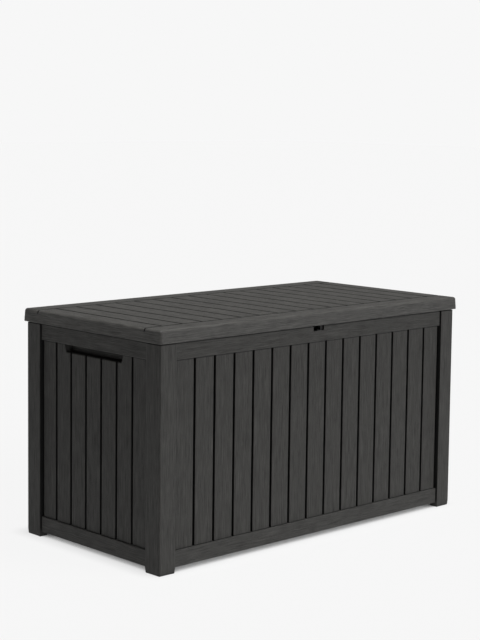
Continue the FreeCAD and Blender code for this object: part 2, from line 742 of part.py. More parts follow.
def strut_lid_bracket():
    """Angle under the liner: a plate with two screws and an ear that carries the upper ball."""
    high = strut_high()
    ear_x, far_x, root = -inner_x + lid_ear_offset, strut_x() + lid_plate_reach, liner_z - overlap
    y0, y1 = high.y - lid_plate_half, high.y + lid_plate_half
    plate = block(ear_x, far_x, y0, y1, liner_z - bracket_plate, liner_z)
    ear = [Vector(ear_x, high.y - lid_ear_top, root), Vector(ear_x, high.y + lid_ear_top, root)]
    ear.append(Vector(ear_x, high.y + lid_ear_tip, high.z - lid_ear_tip))
    ear.append(Vector(ear_x, high.y - lid_ear_tip, high.z - lid_ear_tip))
    bracket = fuse([plate, prism(ear, Vector(bracket_plate, 0, 0))])
    bracket = bracket.cut(rod_between(stud_radius, high, Vector(-inner_x, high.y, high.z)))
    return drill(bracket, strut_lid_screws(), 2 * bracket_plate)


# ---- padlock point --------------------------------------------------------------------------------------
def ear_plate(x, z0, z1):
    """Upright plate across the notch with the padlock hole."""
    hole = Vector(x - overlap, ear_y + ear_width / 2, body_top - padlock_drop)
    plate = block(x, x + ear_thickness, ear_y, ear_y + ear_width, z0, z1)
    plate = plate.makeFillet(ear_round, edges_where(plate, lambda e: abs(e.Length - ear_thickness) < 1e-6))
    return plate.cut(Part.makeCylinder(padlock_radius, ear_thickness + 2 * overlap, hole, X_AXIS))


def lock_ear_screws():
    seat = Vector(ear_offset - ear_screw_offset, ear_y + ear_width / 2, notch_floor + ear_foot)
    return [(seat, -Z_AXIS)]


def lock_ear():
    """Fixed ear standing on the floor of the notch."""
    x0, x1 = ear_offset - ear_foot_reach, ear_offset + ear_thickness
    foot = block(x0, x1, ear_y, ear_y + ear_width, notch_floor, notch_floor + ear_foot)
    plate = ear_plate(ear_offset, notch_floor, body_top + ear_rise)
    return drill(fuse([plate, foot]), lock_ear_screws(), 2 * wall)


def lock_tongue_middle():
    return ear_offset + ear_gap + ear_thickness * 1.5


def lock_tongue_screws():
    x, y, z = lock_tongue_middle(), ear_y + ear_width / 2, liner_z - tongue_plate
    return [(Vector(x + dx, y, z), Z_AXIS) for dx in (-tongue_screw_spread, tongue_screw_spread)]


def lock_tongue():
    """Ear that hangs from the lid beside the fixed one."""
    x, z = lock_tongue_middle(), liner_z - tongue_plate
    base = block(x - tongue_plate_half, x + tongue_plate_half, ear_y, ear_y + ear_width, z, liner_z)
    plate = ear_plate(x - ear_thickness / 2, notch_floor + tongue_lift, liner_z - overlap)
    return drill(fuse([plate, base]), lock_tongue_screws(), 2 * tongue_plate)


# ---- all the pieces --------------------------------------------------------------------------------------
def both_ends(name, shape):
    return {f"left_{name}": shape, f"right_{name}": mirrored(shape)}


def pieces():
    made = {"front_panel": front_panel(), "rear_panel": rear_panel(), "floor_panel": floor_panel()}
    made.update(both_ends("side_panel", side_panel()))
    post = corner_post()
    made["front_left_post"], made["front_right_post"] = post, mirrored(post)
    made["rear_left_post"] = post.mirror(ORIGIN, Y_AXIS)
    made["rear_right_post"] = mirrored(made["rear_left_post"])
    made["corner_screws"] = corner_screws()
    made["lid_shell"], made["lid_liner"], made["lid_screws"] = lid_shell(), lid_liner(), lid_screws()
    for label, x in zip(("left", "middle", "right"), hinge_stations):
        made[f"{label}_hinge_bracket"] = hinge_bracket(x)
        made[f"{label}_hinge_arm"] = hinge_arm(x)
        made[f"{label}_hinge_pin"] = hinge_pin(x)
    made["hinge_body_screws"] = screws(hinge_body_screws(), hinge_screw_reach)
    made["hinge_lid_screws"] = screws(hinge_lid_screws(), lift_screw_reach)
    low, high = strut_low(), strut_high()
    made.update(both_ends("strut_cylinder", strut_cylinder()))
    made.update(both_ends("strut_seal", strut_seal()))
    made.update(both_ends("strut_lower_socket", ball_socket(low, high)))
    made.update(both_ends("strut_rod", strut_rod()))
    made.update(both_ends("strut_piston", strut_piston()))
    made.update(both_ends("strut_upper_socket", ball_socket(high, low)))
    made.update(both_ends("strut_lower_stud", ball_stud(low, strut_inset)))
    made.update(both_ends("strut_upper_stud", ball_stud(high, strut_inset - lid_ear_offset)))
    made.update(both_ends("strut_wall_bracket", strut_wall_bracket()))
    made.update(both_ends("strut_lid_bracket", strut_lid_bracket()))
    wall_screws = screws(strut_wall_screws(), bracket_screw_reach)
    made["strut_wall_screws"] = wall_screws + [mirrored(s) for s in wall_screws]
    made["strut_lid_screws"] = screws(strut_lid_screws(), lift_screw_reach)
    made["lock_ear"], made["lock_tongue"] = lock_ear(), lock_tongue()
    made["lock_screws"] = screws(lock_ear_screws(), ear_screw_reach)
    made["lock_tongue_screws"] = screws(lock_tongue_screws(), lift_screw_reach)
    return made


os.makedirs("parts", exist_ok=True)
for name, shape in pieces().items():
    solids = shape if isinstance(shape, list) else [shape]
    solids = [s for piece in solids for s in piece.Solids]
    whole = Part.makeCompound(solids) if len(solids) > 1 else solids[0]
    whole.exportStep(f"parts/{name}.step")
    print(f"{name}: {len(solids)} solid(s), {whole.Volume / 1000:.1f} cm3, valid {whole.isValid()}")
low, high = strut_low(), strut_high()
print("hinge axis", hinge_y, hinge_z, "strut balls", low, high, "closed length", closed_length())
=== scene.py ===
# %% [markdown]
# # A deck storage box in moulded resin
#
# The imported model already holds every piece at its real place. This lesson gives the box its looks: the big resin
# mouldings are worked out again as fine surfaces with real edge rounds and a raised wood grain, the small steel
# pieces get softened edges, and every piece gets a procedural material. Lengths are in metres.

import json
import math

import bmesh
import bpy
import numpy as np
from mathutils import Matrix, Vector


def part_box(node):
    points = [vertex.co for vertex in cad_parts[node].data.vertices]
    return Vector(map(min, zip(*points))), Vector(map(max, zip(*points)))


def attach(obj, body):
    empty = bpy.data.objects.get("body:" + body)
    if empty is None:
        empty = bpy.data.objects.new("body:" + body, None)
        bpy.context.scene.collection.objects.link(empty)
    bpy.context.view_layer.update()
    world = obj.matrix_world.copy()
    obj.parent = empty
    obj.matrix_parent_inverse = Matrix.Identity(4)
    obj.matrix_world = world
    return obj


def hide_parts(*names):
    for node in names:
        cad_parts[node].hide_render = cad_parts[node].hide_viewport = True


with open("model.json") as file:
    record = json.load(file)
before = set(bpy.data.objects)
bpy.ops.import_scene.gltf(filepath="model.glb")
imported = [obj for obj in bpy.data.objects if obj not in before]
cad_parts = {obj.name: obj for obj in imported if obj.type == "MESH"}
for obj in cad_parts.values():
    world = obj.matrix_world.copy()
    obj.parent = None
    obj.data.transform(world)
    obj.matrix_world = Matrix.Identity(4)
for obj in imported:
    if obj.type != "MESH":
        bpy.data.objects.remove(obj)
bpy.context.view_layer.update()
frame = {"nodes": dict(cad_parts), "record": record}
record = frame["record"]
MM = 0.001

# %% [markdown]
# ## Sizes that the looks need
#
# Everything that the frame can tell is read from it: the boxes of the posts, the panels and the lid. Only the
# sections of the mouldings, such as a groove or an edge round, are named here. A recess or depth is measured
# inwards from the outer face of the posts.

# %% Sizes
post_low, post_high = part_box("front_left_post")
panel_low, panel_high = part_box("front_panel")
lid_low, lid_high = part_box("lid_shell")
body_x, body_y = -post_low.x, -post_low.y
front_half, side_half = -post_high.x, -post_high.y
foot_height, lip_top = panel_low.z, panel_high.z
lip_height, rail_height = 11 * MM, 44 * MM
rail_recess, plank_recess, wall_depth = 4.5 * MM, 9 * MM, 28 * MM
groove_width, groove_depth, skin = 7.5 * MM, 10 * MM, 3 * MM
end_gap = 7 * MM  # from the last plank to the post
rail_seam = 3 * MM  # from the rail's end to the post
tongue_hidden = 10 * MM  # how far a wall reaches into the post
front_planks, side_planks = 15, 7
plank_pitch = 2 * front_half / front_planks
body_top = lip_top - lip_height
rim_depth = wall_depth - skin  # outer face of the rain lip
low_rail_top, high_rail_low = foot_height + rail_height, body_top - rail_height
print("half lengths", round(front_half / MM, 1), round(side_half / MM, 1), "pitch", round(plank_pitch / MM, 2))

# %% [markdown]
# ## Small tools for surfaces
#
# A moulding is a few patches. Each patch is a grid of points, a function of two parameters. `weld` turns patches
# into one mesh: it joins points that meet, lets faces that shrank to nothing disappear, and turns all faces
# outwards. The pattern map holds metres across the grain and metres along it, so that one grain material can run
# upright on a plank and level on a rail. The attribute `hollow` says how much painted shade darkens a point.

# %% Patches to a mesh
JOIN_WITHIN = 0.01 * MM


def add_object(name, data):
    """A new object in the scene that shows the data."""
    made = bpy.data.objects.new(name, data)
    bpy.context.scene.collection.objects.link(made)
    return made


def shade_smooth(mesh, sharp_degrees):
    """Smooth faces, with edges bent past sharp_degrees left sharp."""
    mesh.polygons.foreach_set("use_smooth", np.ones(len(mesh.polygons), bool))
    mesh.set_sharp_from_angle(angle=math.radians(sharp_degrees))


def quads_of(rows, columns):
    """Corners of every cell of a grid: cell (i, j) joins points (i, j), (i, j+1), (i+1, j+1) and (i+1, j)."""
    index = np.arange(rows * columns).reshape(rows, columns)
    return np.stack([index[:-1, :-1], index[:-1, 1:], index[1:, 1:], index[1:, :-1]], -1).reshape(-1, 4)


def mesh_of(name, patches, caps):
    """An open mesh of patches (points, pattern map, hollow) and of caps, which are rings of points to be filled."""
    parts = [(grid.reshape(-1, 3), uv.reshape(-1, 2), np.broadcast_to(deep, grid.shape[:2]).ravel(),
              quads_of(*grid.shape[:2])) for grid, uv, deep in patches]
    parts += [(ring, ring[:, :2], np.zeros(len(ring)), np.arange(len(ring))[None]) for ring in caps]
    starts = np.cumsum([0] + [len(part[0]) for part in parts])
    faces = [face for part, start in zip(parts, starts) for face in (part[3] + start).tolist()]
    points, pattern, hollow = (np.concatenate([part[k] for part in parts]) for k in range(3))
    mesh = bpy.data.meshes.new(name)
    mesh.from_pydata(points.tolist(), [], faces)
    corners = np.empty(len(mesh.loops), np.int32)
    mesh.loops.foreach_get("vertex_index", corners)
    mesh.uv_layers.new(name="pattern").uv.foreach_set("vector", pattern[corners].ravel())
    mark = mesh.attributes.new("hollow", "FLOAT", "POINT")
    mark.data.foreach_set("value", hollow.astype(np.float32))
    return mesh


def weld(name, patches, caps=(), sharp_degrees=38):
    """One object: points within JOIN_WITHIN become one, and faces are turned outwards; prints what stayed open."""
    mesh = mesh_of(name, patches, caps)
    work = bmesh.new()
    work.from_mesh(mesh)
    bmesh.ops.remove_doubles(work, verts=work.verts, dist=JOIN_WITHIN)
    bmesh.ops.recalc_face_normals(work, faces=work.faces)
    open_edges = sum(len(edge.link_faces) != 2 for edge in work.edges)
    work.to_mesh(mesh)
    work.free()
    shade_smooth(mesh, sharp_degrees)
    piece = add_object(name, mesh)
    print(f"{name}: {len(mesh.vertices)} points, {len(mesh.polygons)} faces, {open_edges} open edges")
    return piece


# %% [markdown]
# Two more helpers: a circle's arc for edge rounds, and even steps in a profile's long runs, so that the raised grain
# has points to lift.


# %% Arcs and steps
def arc(radius, steps, start_degrees, end_degrees):
    """Points of a circle's arc about the origin: cosine and sine of evenly spaced angles, times the radius."""
    turn = np.radians(np.linspace(start_degrees, end_degrees, steps + 1))
    return np.stack([np.cos(turn), np.sin(turn)], -1) * radius


def divided(line, step_at):
    """The same line of (place, depth) with each run cut into equal steps of about step_at(middle of the run)."""
    runs = [line[:1]]
    for start, end in zip(line[:-1], line[1:]):
        steps = max(1, round((end[0] - start[0]) / step_at(0.5 * (start[0] + end[0]))))
        runs.append(start + (end - start) * np.linspace(0, 1, steps + 1)[1:, None])
    return np.concatenate(runs)


# %% [markdown]
# ## The raised grain
#
# Such a moulding copies brushed timber: long ridges a few millimetres wide that wander slowly. The broad ridges are
# real relief, a tenth of a millimetre high. The fine ones are left to the material.

# %% Broad grain
RIDGE_WIDTHS = np.array([9.5, 13, 17, 24, 41]) * MM
WANDER, WANDER_LENGTHS = 0.9, (0.25, 0.6)  # radians of drift, and the lengths in metres over which it swings


def ridges(across, along, seed):
    """Sum of sines across the grain, each with its own phase that drifts along the grain; about -1 to 1."""
    random = np.random.default_rng(seed)
    total = np.zeros(np.broadcast(across, along).shape)
    for width in RIDGE_WIDTHS:
        phase, drift, turn = random.uniform(0, 2 * math.pi, 3)
        wander = WANDER * np.sin(2 * math.pi * along / random.uniform(*WANDER_LENGTHS) + drift)
        total += np.sin(2 * math.pi * across / width + phase + turn + wander)
    return total / 3


# %% [markdown]
# ## The grain finish
#
# A moulded resin is one colour all through. What makes it read as timber is relief: fine streaks across which the
# light changes, and a slightly different sheen from board to board. One node group makes that relief from any
# vector whose X runs across the grain and whose Y runs along it, so boards, rails and posts share it.

# %% Node helpers
def group_of(name, inputs, outputs):
    """A new shader node group with named sockets; returns the group, its input node and its output node."""
    group = bpy.data.node_groups.new(name, "ShaderNodeTree")
    for label, kind, value in inputs:
        socket = group.interface.new_socket(name=label, in_out="INPUT", socket_type=kind)
        if value is not None:
            socket.default_value = value
    for label, kind in outputs:
        group.interface.new_socket(name=label, in_out="OUTPUT", socket_type=kind)
    return group, group.nodes.new("NodeGroupInput"), group.nodes.new("NodeGroupOutput")


def node(tree, kind, links=(), **settings):
    """Adds a node, sets its properties or input values by name, and links (socket, source) pairs into it."""
    made = tree.nodes.new(kind)
    for key, value in settings.items():
        if hasattr(made, key):
            setattr(made, key, value)
        else:
            made.inputs[key.replace("_", " ").title()].default_value = value
    for socket, source in links:
        tree.links.new(source, made.inputs[socket])
    return made


def maths(tree, operation, first, second=None):
    """A Math node whose operands are sockets or numbers; returns its result socket."""
    made = tree.nodes.new("ShaderNodeMath")
    made.operation = operation
    for slot, operand in enumerate((first, second)):
        if isinstance(operand, bpy.types.NodeSocket):
            tree.links.new(operand, made.inputs[slot])
        elif operand is not None:
            made.inputs[slot].default_value = operand
    return made.outputs[0]


def share(tree, value, low, high):
    """How far a value has come from low to high, from 0 to 1."""
    return node(tree, "ShaderNodeMapRange", [("Value", value)], from_min=low, from_max=high).outputs[0]


def mix_colours(tree, factor, first, second):
    """A colour between first and second, each a socket or a colour; returns its result socket."""
    made = tree.nodes.new("ShaderNodeMix")
    made.data_type = "RGBA"
    enabled = [socket for socket in made.inputs if socket.enabled]
    for socket, value in zip(enabled, (factor, first, second)):
        if isinstance(value, bpy.types.NodeSocket):
            tree.links.new(value, socket)
        else:
            socket.default_value = value
    return next(socket for socket in made.outputs if socket.enabled)


# %% [markdown]
# Noise in a stretched vector comes out as streaks: many turns per metre across the grain and few along it. Three
# such noises, fine, broad and blotchy, make the grain, and a slow one moves them sideways so that no streak is
# dead straight.

# %% The grain group
SIDEWAYS = 0.006  # metres by which the slow noise moves the streaks
FINE_SHARE, BROAD_SHARE, CLOUD_SHARE = 0.55, 0.45, 0.5


def stretched_noise(tree, source, across, along, **settings):
    """Noise with so many turns per metre across and along the grain; returns its node."""
    mapping = tree.nodes.new("ShaderNodeMapping")
    mapping.inputs["Scale"].default_value = (across, along, 1)
    tree.links.new(source, mapping.inputs["Vector"])
    return node(tree, "ShaderNodeTexNoise", [("Vector", mapping.outputs[0])], **settings)


def make_grain_group():
    """Fine streaks, broad streaks and blotches; puts out a tone (about 0 to 1), a height and a sheen change."""
    group, given, result = group_of(
        "moulded grain",
        [("Pattern", "NodeSocketVector", None), ("Strength", "NodeSocketFloat", 1.0)],
        [("Tone", "NodeSocketFloat"), ("Height", "NodeSocketFloat"), ("Sheen", "NodeSocketFloat")],
    )
    pattern = given.outputs["Pattern"]
    wander = stretched_noise(group, pattern, 22, 4, detail=1.0)
    shifted = node(group, "ShaderNodeVectorMath", operation="MULTIPLY_ADD")
    group.links.new(wander.outputs["Color"], shifted.inputs[0])
    shifted.inputs[1].default_value = (SIDEWAYS, 0, 0)
    group.links.new(pattern, shifted.inputs[2])
    moved = shifted.outputs[0]
    fine = stretched_noise(group, moved, 300, 4, detail=3.0, roughness=0.6).outputs[0]
    broad = stretched_noise(group, moved, 120, 1.6, detail=2.0).outputs[0]
    blotch = stretched_noise(group, moved, 14, 5, detail=2.0).outputs[0]
    fine_part, broad_part = maths(group, "MULTIPLY", fine, FINE_SHARE), maths(group, "MULTIPLY", broad, BROAD_SHARE)
    streaks = maths(group, "ADD", fine_part, broad_part)
    height = share(group, streaks, 0.36, 0.64)
    cloud = maths(group, "MULTIPLY", maths(group, "SUBTRACT", blotch, 0.5), CLOUD_SHARE)
    tone = maths(group, "ADD", height, cloud)
    group.links.new(tone, result.inputs["Tone"])
    group.links.new(maths(group, "MULTIPLY", height, given.outputs["Strength"]), result.inputs["Height"])
    group.links.new(maths(group, "SUBTRACT", 0.5, maths(group, "MULTIPLY", tone, 0.5)), result.inputs["Sheen"])
    return group


# %% [markdown]
# The second shared effect paints light and shade into the colour: outward edges turn a little paler, partly wear and
# partly a painted highlight, and hollows such as the bottom of grooves turn near-black with painted shade. It takes
# masks and gives back one colour, so any material can use it.

# %% The edge wear, highlight and painted shade group
# Near-black painted shade, mixed in by Hollow: grooves, seams, recesses and other hollows.
PAINTED_SHADE_COLOUR = (0.004, 0.004, 0.004, 1)
EDGE_FROM, EDGE_TO = 0.52, 0.62  # pointiness of a rounded and of a worn edge


def make_edge_and_painted_shade_group():
    """Mixes a colour towards a paler one on outward edges (wear and painted highlight) and to near-black painted
    shade by Hollow.
    """
    group, given, result = group_of(
        "edge wear, highlight and painted shade",
        [("Colour", "NodeSocketColor", (0.1, 0.1, 0.1, 1)), ("Rubbed", "NodeSocketColor", (0.2, 0.2, 0.2, 1)),
         ("Hollow", "NodeSocketFloat", 0.0), ("Amount", "NodeSocketFloat", 0.3)],
        [("Colour", "NodeSocketColor")],
    )
    place = group.nodes.new("ShaderNodeTexCoord").outputs["Object"]
    patches = node(group, "ShaderNodeTexNoise", [("Vector", place)], scale=9.0, detail=4.0)
    shape = group.nodes.new("ShaderNodeNewGeometry").outputs["Pointiness"]
    edge = share(group, shape, EDGE_FROM, EDGE_TO)
    patchy = maths(group, "MULTIPLY", patches.outputs[0], given.outputs["Amount"])
    # Outward edges lighten in patches, partly wear and partly a painted highlight.
    wear_and_highlight = maths(group, "MULTIPLY", edge, patchy)
    lighter = mix_colours(group, wear_and_highlight, given.outputs["Colour"], given.outputs["Rubbed"])
    darker = mix_colours(group, given.outputs["Hollow"], lighter, PAINTED_SHADE_COLOUR)
    group.links.new(darker, result.inputs["Colour"])
    return group


grain_group, edge_and_painted_shade_group = make_grain_group(), make_edge_and_painted_shade_group()
print("groups:", [g.name for g in bpy.data.node_groups])

# %% [markdown]
# ## Resin and steel
#
# Each material places the groups with its own values. The shader itself stays in the material. Roughness is high,
# because the real surface is a dull, slightly waxy plastic: it shows a soft sheen at a low angle and no reflections.
# Steel has no grain, only a fine cloudy change of sheen, and a zinc or chrome coat is told from paint by `metallic`.


# %% Materials
def shader_of(name):
    """A new material with its Principled shader; returns the material, its tree and the shader."""
    material = bpy.data.materials.new(name)
    material.use_nodes = True
    tree = material.node_tree
    return material, tree, tree.nodes["Principled BSDF"]


def shade(colour, factor):
    """The colour times a factor, with its alpha."""
    return (*(c * factor for c in colour), 1)


def resin(name, colour, lift=0.55, relief=0.6 * MM, roughness=0.62, mapped=True):
    """Moulded resin: tone changes the colour by lift either way, relief is the grain's height in metres."""
    material, tree, shader = shader_of(name)
    if mapped:
        pattern = node(tree, "ShaderNodeUVMap", uv_map="pattern").outputs[0]
        hollow = [("Hollow", node(tree, "ShaderNodeAttribute", attribute_name="hollow").outputs["Fac"])]
    else:
        pattern = tree.nodes.new("ShaderNodeTexCoord").outputs["Object"]
        hollow = []
    grain = node(tree, "ShaderNodeGroup", [("Pattern", pattern)], node_tree=grain_group, Strength=1.0)
    toned = mix_colours(tree, grain.outputs["Tone"], shade(colour, 1 - lift), shade(colour, 1 + lift))
    # Outward edges lighten towards Rubbed, partly wear and partly a painted highlight; Hollow darkens with painted
    # shade.
    finish = node(tree, "ShaderNodeGroup", [("Colour", toned), *hollow], node_tree=edge_and_painted_shade_group,
                  Rubbed=shade(colour, 1.9), Amount=0.35)
    tree.links.new(finish.outputs["Colour"], shader.inputs["Base Color"])
    rough = maths(tree, "ADD", maths(tree, "MULTIPLY", grain.outputs["Sheen"], 0.22), roughness - 0.05)
    tree.links.new(rough, shader.inputs["Roughness"])
    bump = node(tree, "ShaderNodeBump", [("Height", grain.outputs["Height"])], distance=relief, strength=0.8)
    tree.links.new(bump.outputs[0], shader.inputs["Normal"])
    shader.inputs["Specular IOR Level"].default_value = 0.25
    return material


def metal(name, colour, metallic=1.0, roughness=0.35, scratch=0.12, specular=0.5, edge_wear_and_highlight=0.3):
    """Plated, painted or polished steel: noise changes the colour a little and the roughness by scratch."""
    material, tree, shader = shader_of(name)
    place = tree.nodes.new("ShaderNodeTexCoord").outputs["Object"]
    cloud = node(tree, "ShaderNodeTexNoise", [("Vector", place)], scale=180.0, detail=4.0).outputs[0]
    tint = mix_colours(tree, cloud, shade(colour, 0.85), shade(colour, 1.15))
    # Outward edges lighten towards the Rubbed grey, partly wear and partly a painted highlight.
    finish = node(tree, "ShaderNodeGroup", [("Colour", tint)], node_tree=edge_and_painted_shade_group,
                  Rubbed=(0.5, 0.5, 0.5, 1), Amount=edge_wear_and_highlight)
    tree.links.new(finish.outputs["Colour"], shader.inputs["Base Color"])
    rough = maths(tree, "ADD", maths(tree, "MULTIPLY", cloud, scratch), roughness - scratch / 2)
    tree.links.new(rough, shader.inputs["Roughness"])
    bump = node(tree, "ShaderNodeBump", [("Height", cloud)], distance=0.05 * MM, strength=0.4)
    tree.links.new(bump.outputs[0], shader.inputs["Normal"])
    shader.inputs["Metallic"].default_value = metallic
    shader.inputs["Specular IOR Level"].default_value = specular
    return material


# %% [markdown]
# The walls and posts are one dark graphite. The lid's graphite is a little paler: painted light for its top, which
# the light from above brightens. Hinges, brackets and the lock lugs are painted black, the lock's steel blacker still
# as painted shade for the padlock recess, screws and pins are plated, and a strut's rod is chromed.

# %% Finishes
# The lid's graphite is the walls' graphite painted paler, as painted light for its top.
GRAPHITE, LIT_LID_GRAPHITE = (0.0345, 0.0336, 0.0313), (0.0412, 0.0401, 0.0375)
finishes = {
    "wall_resin": resin("wall resin", GRAPHITE),
    "post_resin": resin("post resin", GRAPHITE, relief=0.4 * MM),
    "lid_resin": resin("lid resin", LIT_LID_GRAPHITE, lift=0.75, relief=0.3 * MM, roughness=0.56),
    "inner_resin": resin("inner resin", (0.05, 0.05, 0.047), lift=0.12, relief=0.1 * MM, mapped=False),
    "hinge_steel": metal("hinge steel", (0.03, 0.03, 0.031), metallic=0.0, roughness=0.42),
    "pin_steel": metal("pin steel", (0.55, 0.55, 0.56), roughness=0.32),
    "screw_steel": metal("screw steel", (0.5, 0.5, 0.5), roughness=0.36),
    "strut_paint": metal("strut paint", (0.018, 0.018, 0.019), metallic=0.0, roughness=0.3),
    "strut_rod_chrome": metal("strut rod chrome", (0.66, 0.67, 0.68), roughness=0.12, scratch=0.06),
    "socket_resin": metal("socket resin", (0.025, 0.025, 0.025), metallic=0.0, roughness=0.55),
    "seal_rubber": metal("seal rubber", (0.015, 0.015, 0.015), metallic=0.0, roughness=0.7),
    "bracket_steel": metal("bracket steel", (0.035, 0.035, 0.037), metallic=0.0, roughness=0.42),
    # Lock steel is black paint made darker still, and without lighter edges: painted shade for the padlock recess.
    "lock_steel": metal("lock steel", (0.005, 0.005, 0.005), metallic=0.0, roughness=0.6, specular=0.2, edge_wear_and_highlight=0.01),
}
slot_of = {part["node"]: part["material_slot"] for part in record["subparts"]}
for name, cad_node in frame["nodes"].items():
    cad_node.data.materials.clear()
    cad_node.data.materials.append(finishes[slot_of[name]])
print(len(finishes), "finishes on", len(frame["nodes"]), "nodes")


def finish_piece(piece, body, node_name):
    """Gives a new piece the finish, slot and body of the node that it stands for."""
    slot = slot_of[node_name]
    piece.data.materials.append(finishes[slot])
    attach(piece, body)
    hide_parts(node_name)


# %% [markdown]
# ## The walls
#
# A wall is one moulding: a skin folded into upright planks between two hollow rails. Worked out as a surface, it is
# a grid of columns along the wall and rows up it. A column knows how deep the skin lies there: on a plank face, on
# the round of a plank's edge, on a groove's side or on its floor. A row knows whether it crosses the planks or one of
# the rails. Two such grids, the outer face and the inner face, are joined along their borders into a closed shell.

# %% Columns of a wall
ROUND, ROUND_STEPS = 1.1 * MM, 4  # edge round of planks and rails
LEAD = 1.6 * MM  # short flat run beside a round, which keeps its shading narrow
FLOOR_EDGE = 1 * MM  # the same in a groove's corner
WALL_STEP = 4.6 * MM
SPLIT = 2e-6  # two lines this close make a step; where there is no step, welding joins them


def groove_section(edge, depth, edge_round, bend, lead, floor):
    """Half a groove as (distance from its centre, depth): a flat lead, an arc of edge_round, the floor's places."""
    curve = arc(edge_round, *bend) + [edge + edge_round, -edge_round]
    start = [[edge + edge_round + lead, 0]]
    return np.concatenate([start, np.stack([curve[:, 0], -curve[:, 1]], -1), [[place, depth] for place in floor]])


def grooves_at(section, centres):
    """Both halves of a groove at each centre, each as points from left to right."""
    return [np.concatenate([section * [-1, 1], section[::-1]]) + [centre, 0] for centre in centres]


def with_steps(line, edges):
    """The same line of (place, depth) with a close pair of points at each edge, between which depths can jump."""
    for edge in sorted(edges):
        for place in (edge - SPLIT, edge + SPLIT):
            at = np.searchsorted(line[:, 0], place)
            before, after = line[at - 1], line[at]
            part = (place - before[0]) / max(after[0] - before[0], 1e-9)
            line = np.insert(line, at, [place, before[1] + part * (after[1] - before[1])], 0)
    return line


def wall_columns(half, planks, edges):
    """Places along the wall and the skin's depth there: grooves between planks, and a tongue at either end."""
    edge = groove_width / 2
    section = groove_section(edge, groove_depth, ROUND, (ROUND_STEPS, 90, 180), LEAD, (edge, edge - FLOOR_EDGE))
    last = np.stack([half - end_gap + edge - section[:, 0], section[:, 1]], -1)
    tongue = np.array([[half + past, groove_depth] for past in (-rail_seam, 0, tongue_hidden)])
    mirrored = [(part * [-1, 1])[::-1] for part in (tongue, last)]
    grooves = grooves_at(section, [-half + k * 2 * half / planks for k in range(1, planks)])
    line = divided(np.concatenate([*mirrored, *grooves, last, tongue]), lambda place: WALL_STEP)
    line = with_steps(line, edges)
    return line[:, 0], line[:, 1] + plank_recess


# %% [markdown]
# The rows follow the wall from the underside of its bottom rail, over both rails' edge rounds and the planks, to the
# rain lip at the top. A line of painted shade lies where planks meet a rail, so two rows stand close together at each
# such line.

# %% Rows of a wall
BY_PLANKS = math.nan  # a row whose depth the columns set
FACE_MARGIN, FACE_ROWS, PLANK_ROWS = 3 * MM, 12, 37
# The lines where planks meet the rails are painted shade, below and above the rails' edges.
SEAM_LOW, SEAM_HIGH = 1.6 * MM, 3.2 * MM  # dark lines where planks meet the rails
SEAM_EDGE = 0.1 * MM  # half the run over which such a line fades
SEAM_MARGIN = 2 * MM


def rail_rows(low, high):
    """Rows over one rail as (height, depth): quarter circle, face, quarter circle."""
    bend = arc(ROUND, ROUND_STEPS, 90, 0)
    rise, sink = ROUND - bend[:, 1], ROUND - bend[:, 0]
    lower = [(low + r, rail_recess + s) for r, s in zip(rise, sink)]
    face = [(z, rail_recess) for z in np.linspace(low + FACE_MARGIN, high - FACE_MARGIN, FACE_ROWS)]
    upper = [(high - r, rail_recess + s) for r, s in zip(rise[::-1], sink[::-1])]
    return lower + face + upper


def wall_rows(levels):
    """Heights and the outer depth at each; a close pair of rows stands at each given level."""
    low_seam, high_seam = low_rail_top + SEAM_LOW, high_rail_low - SEAM_HIGH
    between = np.linspace(low_seam + SEAM_MARGIN, high_seam - SEAM_MARGIN, PLANK_ROWS)
    plank_heights = [low_rail_top, low_seam - SEAM_EDGE, low_seam + SEAM_EDGE, *between,
                     high_seam - SEAM_EDGE, high_seam + SEAM_EDGE, high_rail_low]
    rows = [(foot_height, rim_depth), *rail_rows(foot_height, low_rail_top), *((z, BY_PLANKS) for z in plank_heights),
            *rail_rows(high_rail_low, body_top), (body_top, rim_depth), (lip_top, rim_depth)]
    heights, depths = (np.array(v) for v in zip(*rows))
    for level in sorted(levels):
        for place in (level - SPLIT, level + SPLIT):
            at = np.searchsorted(heights, place)
            heights, depths = np.insert(heights, at, place), np.insert(depths, at, depths[at - 1])
    return heights, depths


# %% [markdown]
# The outer face takes its depth from the columns on the planks and from the rows on the rails. Broad grain lifts
# only the faces, upright on planks and level on rails. Grooves, seams and the top edge under the lid get painted
# shade.

# %% Outer face
# Painted shade: a groove's side below its edge round, the lines by the rails, and a painted shadow line under the
# lid's skirt.
DARK_FROM, DARK_OVER = 0.3 * MM, 0.7 * MM  # a groove's side darkens below its edge round
SEAM_SHADE, LID_LINE_SHADE = 0.9, 0.8
LID_LINE = 1.6 * MM  # dark line under the lid's skirt
ON_FACE = 0.01 * MM
WALL_RELIEF = 0.11 * MM
BOARD_ACROSS, BOARD_ALONG = 3.1, 0.37  # metres by which the fine pattern moves from board to board


def inside(places, low, high):
    return (places > low) & (places < high)


def under_lid(z):
    """The edge round at the top of the chest, which lies in the gap below the lid's skirt."""
    return inside(z, body_top - LID_LINE, body_top - 0.03 * MM)


